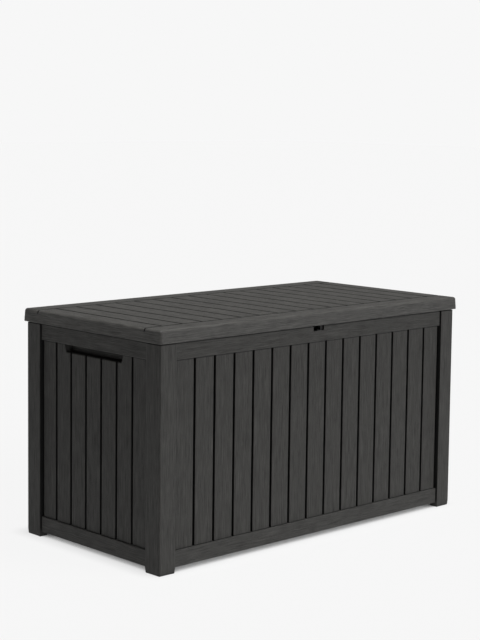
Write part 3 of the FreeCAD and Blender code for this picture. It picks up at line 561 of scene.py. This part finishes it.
def outer_face(u, z, board, on_planks, skin_depth, rail_depth, seed):
    """Depth and painted shade of grooves, seams and the lid's line: the skin's or the rail's depth, plus the ridges
    where it is a face.
    """
    depth = np.where(on_planks, skin_depth, rail_depth)
    painted_shade = np.clip((depth - plank_recess - DARK_FROM) / DARK_OVER, 0, 1) * on_planks
    at_seam = (z < low_rail_top + SEAM_LOW) | (z > high_rail_low - SEAM_HIGH)
    painted_shade = np.maximum(painted_shade, SEAM_SHADE * on_planks * at_seam)
    painted_shade = np.maximum(painted_shade, LID_LINE_SHADE * under_lid(z))
    face = (on_planks & (skin_depth < plank_recess + ON_FACE)) | (depth < rail_recess + ON_FACE)
    grain = np.where(on_planks, ridges(u + board * 1.7, z, seed), ridges(z + 3.3, u, seed + 1))
    return depth + WALL_RELIEF * face * grain, painted_shade


# %% [markdown]
# The inner face follows the planks at the skin's thickness and is flat behind the rails. Ribs, the ledge that
# carries the floor, and the cups and pads of a wall are boxes in which it is pushed to another depth. A groove's
# side is a wall as well, so the inner columns move sideways to keep the skin's thickness there.

# %% Inner face
FLOOR_LEDGE = (22 * MM, 25 * MM, 40 * MM)  # its low and high side and its depth


def rib_boxes(half, planks):
    """Boxes (start, end, low, high, depth): a rib behind each second groove, a level rib and the floor's ledge."""
    pitch, end = 2 * half / planks, half - end_gap
    middle = (low_rail_top + high_rail_low) / 2
    ribs = [(-half + k * pitch - skin / 2, -half + k * pitch + skin / 2, low_rail_top, high_rail_low, wall_depth)
            for k in range(2, planks, 2)]
    return [*ribs, (-end, end, middle - skin / 2, middle + skin / 2, wall_depth), (-end, end, *FLOOR_LEDGE)]


def inner_shift(u, half, pitch):
    """Sideways move: a groove's half width grows by the skin, and the rest of the half pitch shrinks to fit."""
    offset = (u + half + pitch / 2) % pitch - pitch / 2
    reach, room = groove_width / 2, pitch / 2
    in_groove = offset * (reach + skin) / reach
    beside = np.sign(offset) * (reach + skin + (np.abs(offset) - reach) * (room - reach - skin) / (room - reach))
    moved = np.where(np.abs(offset) <= reach, in_groove, beside)
    return np.where(np.abs(u) < half - pitch / 2, moved - offset, 0)


# %% A whole wall
TONGUE_DROP = 3 * MM  # the hidden tongue stays this much below the top


def wall_surface(name, half, planks, place, seed, pockets=(), bosses=()):
    """Closed wall: place(along, depth, height) puts the wall's own coordinates into the real place."""
    boxes = [*rib_boxes(half, planks), *bosses]
    rail_end = half - rail_seam
    edges = {edge for box in (*pockets, *boxes) for edge in box[:2]} | {-rail_end, rail_end}
    levels = {level for box in (*pockets, *boxes) for level in box[2:4] if foot_height < level < lip_top}
    columns, skin_depth = wall_columns(half, planks, edges)
    rows, rail_depth = wall_rows(levels)
    u, z = np.meshgrid(columns, rows)
    pitch = 2 * half / planks
    board = np.floor((u + half) / pitch)
    on_planks = np.isnan(rail_depth)[:, None] & np.ones_like(u, bool)
    outer, painted_shade = outer_face(u, z, board, on_planks, skin_depth[None, :], rail_depth[:, None], seed)
    inner = np.where(on_planks & inside(z, low_rail_top, high_rail_low), skin_depth[None, :] + skin, wall_depth)
    # A pocket such as the lock recess is painted full shade.
    for start, end, low, high, depth in pockets:
        chosen = inside(u, start, end) & inside(z, low, high)
        outer, painted_shade = np.where(chosen, depth, outer), np.where(chosen, 1.0, painted_shade)
    for start, end, low, high, depth in boxes:
        inner = np.where(inside(u, start, end) & inside(z, low, high), depth, inner)
    past_rail, tongue = np.abs(u) > rail_end, plank_recess + groove_depth
    outer, inner = np.where(past_rail, tongue, outer), np.where(past_rail, tongue + skin, inner)
    # The tongue in the seam beside each post is painted full shade.
    painted_shade = np.where(past_rail, 1.0, painted_shade)
    height = np.where(past_rail, np.minimum(z, body_top - TONGUE_DROP), z)
    shift = inner_shift(u, half, pitch) * (inner < wall_depth)
    front, back = place(u, outer, height), place(u + shift, inner, height)
    plank_map = np.stack([u + board * BOARD_ACROSS, z + board * BOARD_ALONG], -1)
    uv = np.where(on_planks[..., None], plank_map, np.stack([z, u + 5.0], -1))
    patches = [(front, uv, painted_shade), (back, uv, 0.0)]
    for cut in (np.s_[0, :], np.s_[-1, :], np.s_[:, 0], np.s_[:, -1]):
        patches.append((np.stack([front[cut], back[cut]]), np.stack([uv[cut], uv[cut]]), 0.0))
    return weld(name, patches)


# %% [markdown]
# Each wall has its own way from along, depth and height to the real place, seen from outside. The front wall has
# one pocket, the recess for a padlock in the middle of its top rail, and a lining behind it.

# %% Front and rear walls
def across(side):
    """Way of the front (side -1) or rear (side 1) wall: place = (-side * u, side * (body_y - depth), z)."""
    return lambda u, depth, z: np.stack([-side * u, side * (body_y - depth), z], -1)


def lengthwise(side):
    """Way of the left (side -1) or right (side 1) wall: place = (side * (body_x - depth), side * u, z)."""
    return lambda u, depth, z: np.stack([side * (body_x - depth), side * u, z], -1)


recess_half, recess_height, recess_depth = 21 * MM, 13.5 * MM, 17.5 * MM
lining_half, lining_low = recess_half + skin, body_top - recess_height - skin
lock_recess = (-recess_half, recess_half, body_top - recess_height, body_top + 1 * MM, rail_recess + recess_depth)
lock_lining = (-lining_half, lining_half, lining_low, body_top - 0.1 * MM, wall_depth)
front_wall = wall_surface("front_wall", front_half, front_planks, across(-1), 11, [lock_recess], [lock_lining])
finish_piece(front_wall, "chest", "front_panel")
rear_wall = wall_surface("rear_wall", front_half, front_planks, across(1), 23)
finish_piece(rear_wall, "chest", "rear_panel")

# %% [markdown]
# ## The side walls and their finger grips
#
# A grip is a slot right under the top rail. Behind the rail it rises, so that fingers can hook over. A face that is
# a height above a grid cannot hang over itself, so this hollow is cut out of the finished wall with a Boolean: the
# cutter is the hollow's own section, carried along the wall.

# %% Grip cutter
grip_low, grip_high = high_rail_low - 22 * MM, high_rail_low
grip_lip_back, grip_back, grip_rise = 13.5 * MM, 31 * MM, 18 * MM  # depths of the hook's slot, and its rise
grip_half_low, grip_half_high, grip_half_most = 117.5 * MM, 126.5 * MM, 125.5 * MM
# The second value below is the painted shade inside the grip's hollow.
grip_round, grip_shade = 5 * MM, 0.85
CUT_CLEAR = 5 * MM  # the cutter starts this far outside the wall


def grip_cutter(name, place):
    """The hollow: a hooked section of depth and height; its half width grows evenly with height."""
    top = grip_high + grip_rise
    high_bend = arc(grip_round, 5, 90, 0) + [grip_back - grip_round, top - grip_round]
    low_bend = arc(grip_round, 5, 0, -90) + [grip_back - grip_round, grip_low + grip_round]
    front_edge = [[-CUT_CLEAR, grip_low], [-CUT_CLEAR, grip_high], [grip_lip_back, grip_high], [grip_lip_back, top]]
    depth, z = np.concatenate([front_edge, high_bend, low_bend]).T
    slope = (grip_half_high - grip_half_low) / (grip_high - grip_low)
    half = grip_half_low + (z - grip_low) * slope
    half = np.where(depth < grip_lip_back, half, np.minimum(half, grip_half_most))
    left, right = (place(side * half, depth, z) for side in (-1, 1))
    ring = np.stack([left, right])
    ring = np.concatenate([ring, ring[:, :1]], 1)
    uv = np.stack([ring[..., 2], ring[..., 0] + ring[..., 1]], -1)
    return weld(name, [(ring, uv, grip_shade)], [left, right], sharp_degrees=30)


def cut_out(piece, cutter):
    """Takes the cutter's space out of the piece and removes the cutter."""
    modifier = piece.modifiers.new("hollow", "BOOLEAN")
    modifier.operation, modifier.solver, modifier.object = "DIFFERENCE", "EXACT", cutter
    evaluated = piece.evaluated_get(bpy.context.evaluated_depsgraph_get())
    cut = bpy.data.meshes.new_from_object(evaluated)
    piece.modifiers.clear()
    piece.data = cut
    bpy.data.objects.remove(cutter)
    print(piece.name, "after the cut:", len(cut.polygons), "faces")


# %% [markdown]
# Behind the grip the wall swells into a cup, and behind each strut bracket into a pad that its screws bite into.
# The pad's place is read from the bracket, so it follows the frame.

# %% Side walls
cup_half, pad_half, pad_margin = 140 * MM, 18 * MM, 4 * MM
cup = (-cup_half, cup_half, grip_low - skin, grip_high + grip_rise + skin, grip_back + skin)
for name, side in (("left", -1), ("right", 1)):
    place = lengthwise(side)
    low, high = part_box(f"{name}_strut_wall_bracket")
    along = side * (low.y + high.y) / 2
    pad = (along - pad_half, along + pad_half, low.z - pad_margin, high.z + pad_margin, wall_depth)
    wall = wall_surface(f"{name}_wall", side_half, side_planks, place, 31 + side, bosses=[cup, pad])
    cut_out(wall, grip_cutter(f"{name}_grip", place))
    finish_piece(wall, "chest", f"{name}_side_panel")

# %% [markdown]
# ## The corner posts
#
# A post is an angle that wraps the corner. Its outline in plan is carried up from the ground: the outline shrinks
# a little towards the foot, which is also tapered, so the box seems to stand on four small feet.

# %% Post outline
POST_ROUND, END_ROUND = 3.5 * MM, 1.3 * MM
front_leg, side_leg = post_high.x - post_low.x, post_high.y - post_low.y


def dense(points, step):
    """A closed outline with each side divided evenly into steps of about the given length."""
    sides = []
    for start, end in zip(points, np.roll(points, -1, 0)):
        count = max(1, round(float(np.linalg.norm(end - start)) / step))
        sides.append(start + (end - start) * (np.arange(count) / count)[:, None])
    return np.concatenate(sides)


def post_outline():
    """Angle section from its outer corner, both legs along + axes, corners as arcs, counter-clockwise."""
    corner = arc(POST_ROUND, 6, 180, 270) + POST_ROUND
    front_end = arc(END_ROUND, 3, 270, 360) + [front_leg - END_ROUND, END_ROUND]
    side_end = arc(END_ROUND, 3, 90, 180) + [END_ROUND, side_leg - END_ROUND]
    inner = [[front_leg, wall_depth], [wall_depth, wall_depth], [wall_depth, side_leg]]
    return dense(np.concatenate([corner, front_end, inner, side_end]), WALL_STEP)


def outward(outline):
    """Unit normals of a closed counter-clockwise outline: the mean direction of both neighbours, turned right."""
    along = np.roll(outline, -1, 0) - np.roll(outline, 1, 0)
    normal = np.stack([along[:, 1], -along[:, 0]], -1)
    return normal / np.linalg.norm(normal, axis=1, keepdims=True)


# %% [markdown]
# Going up, the outline is moved inwards by the foot's round and taper and by the round at the top, and the flat
# sides by the broad grain. The rain lip stands on the post's inner edge as a small angle of its own, whose foot is
# sunk 1 mm into the post's top.

# %% Posts
FOOT_ROUND, FOOT_TAPER, SHAFT_ROWS = 2.2 * MM, 1.6 * MM, 46
# The legs' end faces beside the walls get painted shade; the post is also darker towards the bottom, up to the height
# given last.
POST_RELIEF, LEG_END_SHADE, FOOT_DARKENING, FOOT_DARKENING_HEIGHT = 0.12 * MM, 0.9, 0.5, 6 * MM
STRAIGHT = 0.999  # a normal this near an axis lies on a flat side


def post_levels():
    """Heights up the post and how far the outline is moved inwards at each: round, taper, shaft, round."""
    bend = arc(FOOT_ROUND, 4, 270, 360) + [-FOOT_ROUND, FOOT_ROUND]
    top = arc(END_ROUND, 3, 0, 90) + [-END_ROUND, body_top - END_ROUND]
    shaft = np.linspace(foot_height, body_top - 2.5 * MM, SHAFT_ROWS)
    heights = np.concatenate([bend[:, 1], shaft, top[:, 1]])
    inset = np.concatenate([-bend[:, 0], np.zeros(len(shaft)), -top[:, 0]])
    return heights, inset + FOOT_TAPER * np.clip(1 - heights / foot_height, 0, 1)


def post_lip(corner, side_x, side_y):
    """The rain lip on the post's inner edge, as one patch and its two caps."""
    plan = np.array([[front_leg, rim_depth], [front_leg, wall_depth], [wall_depth, wall_depth],
                     [wall_depth, side_leg], [rim_depth, side_leg], [rim_depth, rim_depth]])
    shown = corner - plan * [side_x, side_y]
    rings = [np.column_stack([shown, np.full(len(shown), z)]) for z in (body_top - 1 * MM, lip_top)]
    grid = np.stack(rings)
    grid = np.concatenate([grid, grid[:, :1]], 1)
    return (grid, grid[..., :2].copy(), 0.0), rings


def post_surface(name, side_x, side_y, seed):
    """Point = outline + normal * (relief - inset), carried up and turned to the post's own corner."""
    outline = post_outline()
    normal = outward(outline)
    heights, inset = post_levels()
    lengths = np.linalg.norm(np.roll(outline, -1, 0) - outline, axis=1)
    around = np.concatenate([[0], np.cumsum(lengths)[:-1]])
    s, z = np.meshgrid(np.append(around, around[0] + lengths.sum()), heights)
    outline, normal = (np.concatenate([v, v[:1]]) for v in (outline, normal))
    flat_side = np.abs(normal).max(1) > STRAIGHT
    relief = POST_RELIEF * flat_side * ridges(s, z, seed)
    relief[:, -1] = relief[:, 0]
    flat = outline[None] + normal[None] * (relief - inset[:, None])[..., None]
    corner = np.array([side_x * body_x, side_y * body_y])
    grid = np.concatenate([corner - flat * [side_x, side_y], z[..., None]], -1)
    leg_end = (np.abs(outline[:, 0] - front_leg) < 1e-6) | (np.abs(outline[:, 1] - side_leg) < 1e-6)
    # Darker towards the bottom, painted shade in the line under the lid's skirt and on the legs' end faces.
    painted_shade = np.maximum(np.clip(1 - z / FOOT_DARKENING_HEIGHT, 0, 1) * FOOT_DARKENING, LID_LINE_SHADE * under_lid(z))
    painted_shade = np.maximum(painted_shade, LEG_END_SHADE * leg_end * (z > foot_height))
    lip, lip_caps = post_lip(corner, side_x, side_y)
    shaft = (grid, np.stack([s + seed, z], -1), painted_shade)
    return weld(name, [shaft, lip], [grid[0, :-1], grid[-1, :-1], *lip_caps])


for seed, (name, side_x, side_y) in enumerate((("front_left", -1, -1), ("front_right", 1, -1),
                                               ("rear_left", -1, 1), ("rear_right", 1, 1))):
    post = post_surface(f"{name}_corner", side_x, side_y, 50 + seed)
    finish_piece(post, "chest", f"{name}_post")

# %% [markdown]
# ## The lid
#
# The lid's top is a height over a grid: fifteen boards run from front to rear between two long border boards, with
# a narrow edge board at either end. The grooves are shallower than a wall's, with sloping sides. The long ones run
# out through the lid's edge as small rain outlets.

# %% Lid sections
LID_ROUND, LID_LEAN, LID_SKIN = 8 * MM, 2.2 * MM, 3.5 * MM  # the skirt leans out by LID_LEAN down to its foot
BORDER_WIDTH = 67 * MM
LID_STEP, BOARD_STEP = 5.4 * MM, 16 * MM  # across the grain, and along a board
lid_drop = lid_high.z - lid_low.z
slat_end = -lid_low.y - BORDER_WIDTH
lid_groove_half, lid_groove_depth, lid_groove_round = 3.0 * MM, 3 * MM, 0.8 * MM
outlet_depth, outlet_length = 9 * MM, 14 * MM
lid_groove = groove_section(lid_groove_half, lid_groove_depth, lid_groove_round, (3, 90, 170), 1.4 * MM,
                            (lid_groove_half * 0.83, lid_groove_half * 0.4))


def lid_line(reach, centres, step_at):
    """Places across the lid and the depth at each, from -reach to reach, with a groove at each centre."""
    return divided(np.concatenate([[[-reach, 0]], *grooves_at(lid_groove, centres), [[reach, 0]]]), step_at)


# %% Top of the lid
LID_RELIEF = 0.11 * MM
IN_GROOVE = 1.2 * MM  # deeper than this, a point of the border belongs to an outlet


def lid_top():
    """The grid over the top as x, y, depth with grain, depth without grain, and pattern map."""
    reach_x, reach_y = lid_high.x - LID_ROUND - LID_LEAN, lid_high.y - LID_ROUND - LID_LEAN
    centres = [(k - front_planks / 2) * plank_pitch for k in range(front_planks + 1)]
    outlet = lid_high.x - outlet_length
    columns = with_steps(lid_line(reach_x, centres, lambda x: LID_STEP), (-outlet, outlet))
    rows = lid_line(reach_y, (-slat_end, slat_end), lambda y: LID_STEP if abs(y) > slat_end else BOARD_STEP)
    x, y = np.meshgrid(columns[:, 0], rows[:, 0])
    on_boards = np.abs(y) < slat_end
    long_groove = rows[:, 1][:, None]
    depth = np.maximum(long_groove, columns[:, 1][None, :] * on_boards)
    depth = np.where((np.abs(x) > outlet) & (long_groove > IN_GROOVE), outlet_depth, depth)
    board = np.floor(x / plank_pitch + 0.5)
    grain = np.where(on_boards, ridges(x + board * 1.3, y, 71), ridges(y + 4.1, x, 72))
    lowered = depth + LID_RELIEF * (depth < ON_FACE) * np.clip(0.5 - 0.5 * grain, 0, 1)
    board_map = np.stack([x + board * BOARD_ACROSS, y + board * BOARD_ALONG], -1)
    uv = np.where(on_boards[..., None], board_map, np.stack([y + 7, x + np.sign(y)], -1))
    return x, y, lowered, depth, uv


# %% [markdown]
# The lid's edge is a profile carried around the grid's border: a generous round, a skirt that leans out a little,
# its rounded foot, and the way back up inside. At the four corners the border stands still while its outward
# direction turns, which gives the rounded corners. No ring lies above the floor of a groove that runs out there.
# The first ring lies at the plain depth, so the top's grain ends at it in a step lower than the grain itself.

# %% Edge of the lid
CORNER_TURNS = 7
SKIRT_SKIN, SKIRT_ROUND, SKIRT_ROWS = 3 * MM, 1.5 * MM, 9
EDGE_RELIEF = 0.1 * MM


def lid_profile():
    """The edge's section as (outwards, down): outside a quarter circle, a straight lean and an arc; then inside."""
    outer = [(out, LID_ROUND - up) for out, up in arc(LID_ROUND, 6, 90, 0)]
    skirt = np.linspace(LID_ROUND, lid_drop - SKIRT_ROUND, SKIRT_ROWS)[1:]
    outer += [(LID_ROUND + LID_LEAN * (down - LID_ROUND) / (lid_drop - LID_ROUND), down) for down in skirt]
    foot = arc(SKIRT_ROUND, 4, 0, -90) + [LID_ROUND + LID_LEAN - SKIRT_ROUND, SKIRT_ROUND - lid_drop]
    outer += [(out, -up) for out, up in foot[1:]]
    inner = [(LID_ROUND + LID_LEAN - SKIRT_SKIN, lid_drop), (LID_ROUND - SKIRT_SKIN, LID_ROUND + 2 * MM),
             (LID_ROUND - LID_SKIN - 1 * MM, 5.5 * MM)]
    return outer, inner


def border_of(grid):
    """The grid's border as one closed loop, counter-clockwise from the first corner; corners come twice."""
    return np.concatenate([grid[0, :], grid[:, -1], grid[-1, ::-1], grid[::-1, 0]])


def turned_corners(loop, counts):
    """The loop and its outward direction; a corner is repeated while the direction turns by a right angle."""
    base, way, start = [], [], 0
    for side, (count, outwards) in enumerate(zip(counts, ((0, -1), (1, 0), (0, 1), (-1, 0)))):
        angle = np.radians(np.linspace(-90, 0, CORNER_TURNS + 2)[1:-1] + 90 * side)
        end = start + count
        base += [loop[start:end], np.repeat(loop[end - 1:end], CORNER_TURNS, 0)]
        way += [np.tile(outwards, (count, 1)), np.stack([np.cos(angle), np.sin(angle)], -1)]
        start = end
    base, way = np.concatenate(base), np.concatenate(way)
    return np.concatenate([base, base[:1]]), np.concatenate([way, way[:1]])


def lid_edge(x, y, lowered, depth):
    """Rings outside and inside: ring = border + way * out, dropped by the deeper of down and the groove."""
    loop = np.stack([border_of(v) for v in (x, y, lowered, depth)], -1)
    base, way = turned_corners(loop, (x.shape[1], x.shape[0], x.shape[1], x.shape[0]))
    plan, lowered, depth = base[:, :2], base[:, 2], base[:, 3]
    steps = np.linalg.norm(np.diff(plan + way * LID_ROUND, axis=0), axis=1)
    along = np.concatenate([[0], np.cumsum(steps)])

    def ring(out, down, drop, relief=0.0):
        """Points, pattern map and painted shade of one ring; an outlet's own walls get painted shade."""
        shown = plan + way * (out - relief * np.ones(len(along)))[:, None]
        pattern = np.stack([np.full(len(along), out + down + 9.0), along], -1)
        return np.column_stack([shown, lid_high.z - drop]), pattern, 1.0 * ((depth > IN_GROOVE) & (drop > down))

    outer, inner = lid_profile()
    rings = []
    for out, down in outer:
        grain = 0.5 - 0.5 * np.clip(ridges(down, along, 73), -1, 1)
        rings.append(ring(out, down, np.maximum(down, depth), EDGE_RELIEF * (down > LID_ROUND * 0.9) * grain))
    rings += [ring(out, down, np.maximum(down, depth + LID_SKIN)) for out, down in inner]
    rings.append(ring(0, LID_SKIN, lowered + LID_SKIN))
    points, patterns, painted_shade = (np.stack(v) for v in zip(*rings))
    return [(points[cut], patterns[cut], painted_shade[cut]) for cut in (np.s_[:len(outer)], np.s_[len(outer) - 1:])]


# %% The whole lid
# The lid's grooves darken with painted shade over this depth.
LID_DARK_OVER = 0.08 * MM  # depth over which a groove of the lid darkens
x, y, lowered, depth, uv = lid_top()
top = np.stack([x, y, lid_high.z - lowered], -1)
ceiling = np.stack([x, y, lid_high.z - lowered - LID_SKIN], -1)
painted_shade = np.clip(depth / LID_DARK_OVER, 0, 1)
lid = weld("lid_top_moulding", [(top, uv, painted_shade), (ceiling, uv, 0.0), *lid_edge(x, y, lowered, depth)])
finish_piece(lid, "lid", "lid_shell")

# %% [markdown]
# ## Small steel pieces and inner mouldings
#
# Cut sheet and moulded ribs never have knife edges. A copy of each such node is merged into one skin, its flat
# faces are joined, and a Bevel rounds its edges. The copy stands for the node and keeps its size.

# %% Softened edges
SHEET_EDGE, MOULDED_EDGE = 0.35 * MM, 0.7 * MM
MERGE_WITHIN = 2e-6
FLAT_WITHIN, BEVEL_FROM = math.radians(2), math.radians(40)


def softened(node_name, width):
    """A copy of a CAD node with its edges rounded by width."""
    piece = add_object(f"{node_name}_soft", frame["nodes"][node_name].data.copy())
    work = bmesh.new()
    work.from_mesh(piece.data)
    bmesh.ops.remove_doubles(work, verts=work.verts, dist=MERGE_WITHIN)
    bmesh.ops.dissolve_limit(work, angle_limit=FLAT_WITHIN, verts=work.verts, edges=work.edges)
    work.to_mesh(piece.data)
    work.free()
    bevel = piece.modifiers.new("edge rounds", "BEVEL")
    bevel.width, bevel.segments, bevel.limit_method = width, 2, "ANGLE"
    bevel.angle_limit, bevel.harden_normals, bevel.use_clamp_overlap = BEVEL_FROM, True, True
    shade_smooth(piece.data, 35)
    piece.data.materials.clear()
    body = next(body for body, nodes in record["behaviour"]["bodies"].items() if node_name in nodes)
    finish_piece(piece, body, node_name)


steel = [name for name, slot in slot_of.items() if slot in ("hinge_steel", "bracket_steel", "lock_steel")]
edges = {**dict.fromkeys(steel, SHEET_EDGE), "lid_liner": MOULDED_EDGE, "floor_panel": MOULDED_EDGE}
for name, width in edges.items():
    softened(name, width)
print("softened:", len(edges))

# %% [markdown]
# ## Stage, light and camera
#
# The box stands on pale paper in soft studio light. The paper glows by itself, and less where the box covers it
# closely, which gives a soft contact shadow. A light high above gives the lid its tone, a broad one from the front
# right lights the long side, and the short side stays in shade. The camera looks from the front left.

# %% Floor
FLOOR_SIZE = 40.0
PAPER_TONE, PAPER_GLOW = 0.12, 0.7
SHADE_REACH, SHADE_FROM, SHADE_TO = 60 * MM, 0.1, 0.42  # how far cover counts, and where its shade starts and ends
floor_mesh = bpy.data.meshes.new("floor")
corners = np.array([[-1, -1, 0], [1, -1, 0], [1, 1, 0], [-1, 1, 0]]) * FLOOR_SIZE
floor_mesh.from_pydata(corners.tolist(), [], [[0, 1, 2, 3]])
floor = add_object("floor", floor_mesh)
paper, paper_tree, paper_shader = shader_of("pale paper")
for label, value in (("Base Color", (PAPER_TONE, PAPER_TONE, PAPER_TONE, 1)), ("Roughness", 1.0),
                     ("Specular IOR Level", 0.0), ("Emission Color", (1, 1, 1, 1))):
    paper_shader.inputs[label].default_value = value
cover = node(paper_tree, "ShaderNodeAmbientOcclusion", distance=SHADE_REACH)
open_share = share(paper_tree, cover.outputs["AO"], SHADE_FROM, SHADE_TO)
glow = maths(paper_tree, "MULTIPLY", maths(paper_tree, "SQRT", open_share), PAPER_GLOW)
paper_tree.links.new(glow, paper_shader.inputs["Emission Strength"])
floor_mesh.materials.append(paper)

# %% [markdown]
# The world has two strengths: what the camera sees behind the floor is nearly white, and what reaches the box is
# weak, so that the two lights shape it.

# %% World
BACKDROP, ROOM_LIGHT = 0.93, 0.05
world = bpy.data.worlds.new("studio")
world.use_nodes = True
sky_tree = world.node_tree
sky = sky_tree.nodes["Background"]
sky.inputs["Color"].default_value = (1, 1, 1, 1)
seen = sky_tree.nodes.new("ShaderNodeLightPath").outputs["Is Camera Ray"]
brightness = maths(sky_tree, "ADD", maths(sky_tree, "MULTIPLY", seen, BACKDROP - ROOM_LIGHT), ROOM_LIGHT)
sky_tree.links.new(brightness, sky.inputs["Strength"])
bpy.context.scene.world = world
bpy.context.scene.view_settings.view_transform = "Standard"


# %% Lights
def soft_light(name, way, spread_degrees, strength):
    """A wide soft light that shines along way from everywhere within the given spread."""
    light = bpy.data.lights.new(name, "SUN")
    light.energy, light.angle = strength, math.radians(spread_degrees)
    add_object(name, light).rotation_euler = Vector(way).to_track_quat("-Z", "Y").to_euler()


soft_light("overhead", (0.0, 0.04, -1.0), 7, 5.4)
soft_light("front", (-0.50, 0.86, -0.16), 45, 2.2)

# %% [markdown]
# The camera stands a distance back along its own line of sight from a point inside the box. Its axes follow from
# three angles: yaw about the upright, pitch down, and a slight roll.

# %% Camera
YAW, PITCH, ROLL = math.radians(43.43), math.radians(5.78), math.radians(0.68)
TARGET, DISTANCE = Vector((-0.038, 0, 0.738)), 4.587
SENSOR, FOCAL_OVER_HEIGHT, RISE_OVER_HEIGHT = 36.0, 1591.3 / 640, 50.6 / 640
ahead = Vector((math.sin(YAW) * math.cos(PITCH), math.cos(YAW) * math.cos(PITCH), -math.sin(PITCH)))
level = Vector((math.cos(YAW), -math.sin(YAW), 0))
upright = level.cross(ahead)
right = math.cos(ROLL) * level + math.sin(ROLL) * upright
above = -math.sin(ROLL) * level + math.cos(ROLL) * upright
eye = TARGET - ahead * DISTANCE
lens = bpy.data.cameras.new("camera")
lens.sensor_width, lens.lens, lens.shift_y = SENSOR, SENSOR * FOCAL_OVER_HEIGHT, -RISE_OVER_HEIGHT
camera = add_object("camera", lens)
camera.matrix_world = Matrix.Translation(eye) @ Matrix((right, above, -ahead)).transposed().to_4x4()
bpy.context.scene.camera = camera
print("camera at", [round(v, 3) for v in eye], "lens", round(lens.lens, 2))
